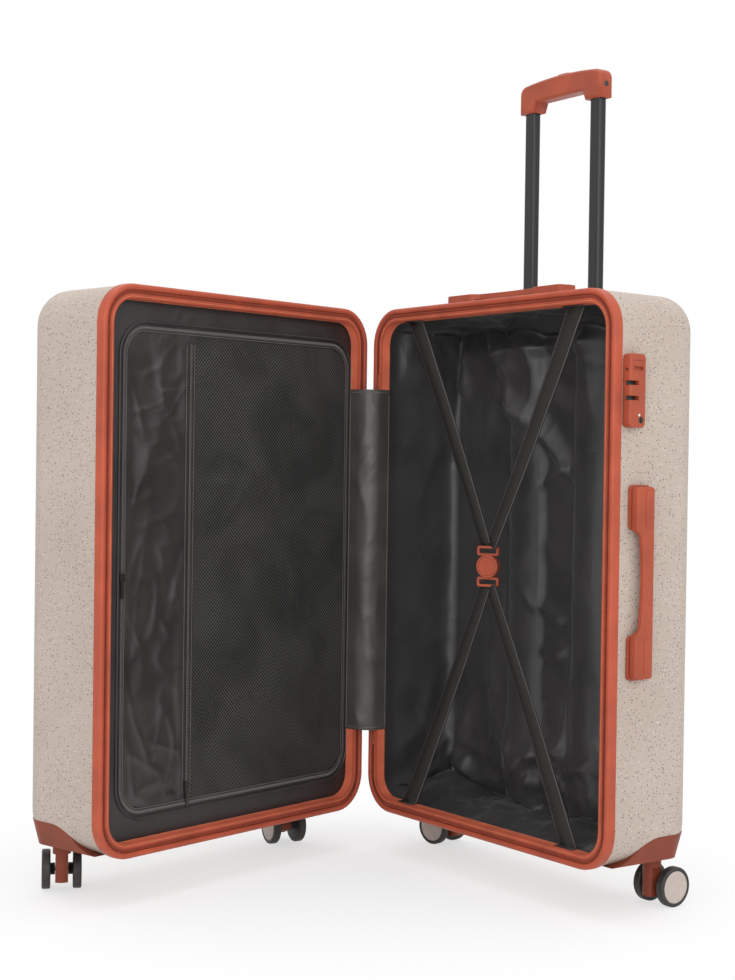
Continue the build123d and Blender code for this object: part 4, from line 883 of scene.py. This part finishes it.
cord_r, cord_inset, cord_depth = 0.0017, -0.0034, 0.0176
cord_profile = [(cord_inset + cord_r * cos(a), cord_depth + cord_r * sin(a))
                for a in [2 * pi * k / 10 for k in range(10)]]
piping = piece_from(run_round(cord_profile, True, **door), "divider_piping", lid_place, 180)
add_on(piping, divider_finish, "lid")
tape_section = [(0.0005, 0.0183), (0.0005, 0.0177), (0.0088, 0.0177), (0.0088, 0.0183)]
door_tape = piece_from(run_round(tape_section, True, **door), "divider_zip_tape", lid_place, 50)
add_on(door_tape, divider_finish, "divider")
coil_size, thread_size = (0.0013, 0.0042, 0.0013), (0.0024, 0.0006, 0.0006)
coil = strew(capsule(*coil_size), rim_points(0.0034, door_coil_pitch, **door), 0.0171)
settle(piece_from(coil, "divider_zip_teeth", lid_place), zip_highlight_finish, "divider_zip")
sewn = strew(capsule(*thread_size), rim_points(0.0076, door_stitch_pitch, **door), 0.0175)
add_on(piece_from(sewn, "divider_stitches", lid_place), grey_thread, "divider")
pocket_x, pocket_half, pocket_seam = 0.085, 0.286, 0.0068
coil = strew(capsule(*coil_size), upright_row(pocket_x, pocket_half, door_coil_pitch), 0.0173)
settle(piece_from(coil, "pocket_zip_teeth", lid_place), zip_highlight_finish, "pocket_zip")
rows = [place for x in (pocket_x - pocket_seam, pocket_x + pocket_seam)
        for place in upright_row(x, pocket_half, door_stitch_pitch)]
sewn = piece_from(strew(capsule(*thread_size), rows, 0.0181), "pocket_stitches", lid_place)
add_on(sewn, grey_thread, "divider")
metal_finish, nodes, links, shader = new_finish("black_nickel", paint(70, 68, 66), 0.32)
shader.inputs["Metallic"].default_value = 0.8
for node in ("divider_zip_pull", "pocket_zip_pull"):
    settle(softened(node, node + "_metal", 0.0003), metal_finish, node)

seam = 0.009
mesh_left, mesh_right, pocket_left, pocket_right = -0.216, pocket_x - seam, pocket_x + seam, 0.193
window_half, window_corner = door["half_h"] - seam, door["corner"] - seam


def window(low, high, low_round, high_round, across, up):
    """A sheet that fills one window of the door, with the door's rounded corners on one side."""
    bm = bmesh.new()
    bmesh.ops.create_grid(bm, x_segments=across, y_segments=up, size=1)
    for vert in bm.verts:
        z = vert.co.y * window_half
        into = max(0.0, abs(z) - window_half + window_corner)
        cut = window_corner - (window_corner ** 2 - into ** 2) ** 0.5
        left, right = low + cut * low_round, high - cut * high_round
        vert.co = Vector((left + (right - left) * (vert.co.x + 1) / 2, door_depth + 0.0003, z + rim_mid_z))
    return bm


def free_of_seams(spot, low, high, reach):
    """Nought at a window's seams, rising to one a reach away from them."""
    return share(min(spot.x - low, high - spot.x, window_half - abs(spot.z - rim_mid_z)) / reach)


pocket = window(pocket_left, pocket_right, 0, 1, 30, 170)
for vert in pocket.verts:
    fold = (crease(vert.co, (13, 9, 4), 2.9) * 0.35 + crease(vert.co, (30, 9, 9), 6.3) ** 2 * 0.4
            + crease(vert.co, (12, 9, 26), 8.8) ** 2 * 0.3)
    puff = 0.0022 - 0.0045 * fold + 0.0022 * noise.noise(vert.co * 11)
    vert.co.y += puff * free_of_seams(vert.co, pocket_left, pocket_right, 0.012)
pocket_cloth = piece_from(pocket, "divider_pocket_cloth", lid_place, 180)
settle(pocket_cloth, pocket_finish, "divider_pocket")
net = window(mesh_left, mesh_right, 1, 0, 70, 150)
for vert in net.verts:
    wave = (noise.noise(Vector((vert.co.x * 9 + vert.co.z * 5, 0, vert.co.z * 7)))
            + 0.4 * noise.noise(vert.co * 21))
    vert.co.y += (0.001 + 0.0016 * wave) * free_of_seams(vert.co, mesh_left, mesh_right, 0.02)
net_cloth = piece_from(net, "divider_mesh_cloth", lid_place, 180)
settle(net_cloth, mesh_finish, "divider_mesh")
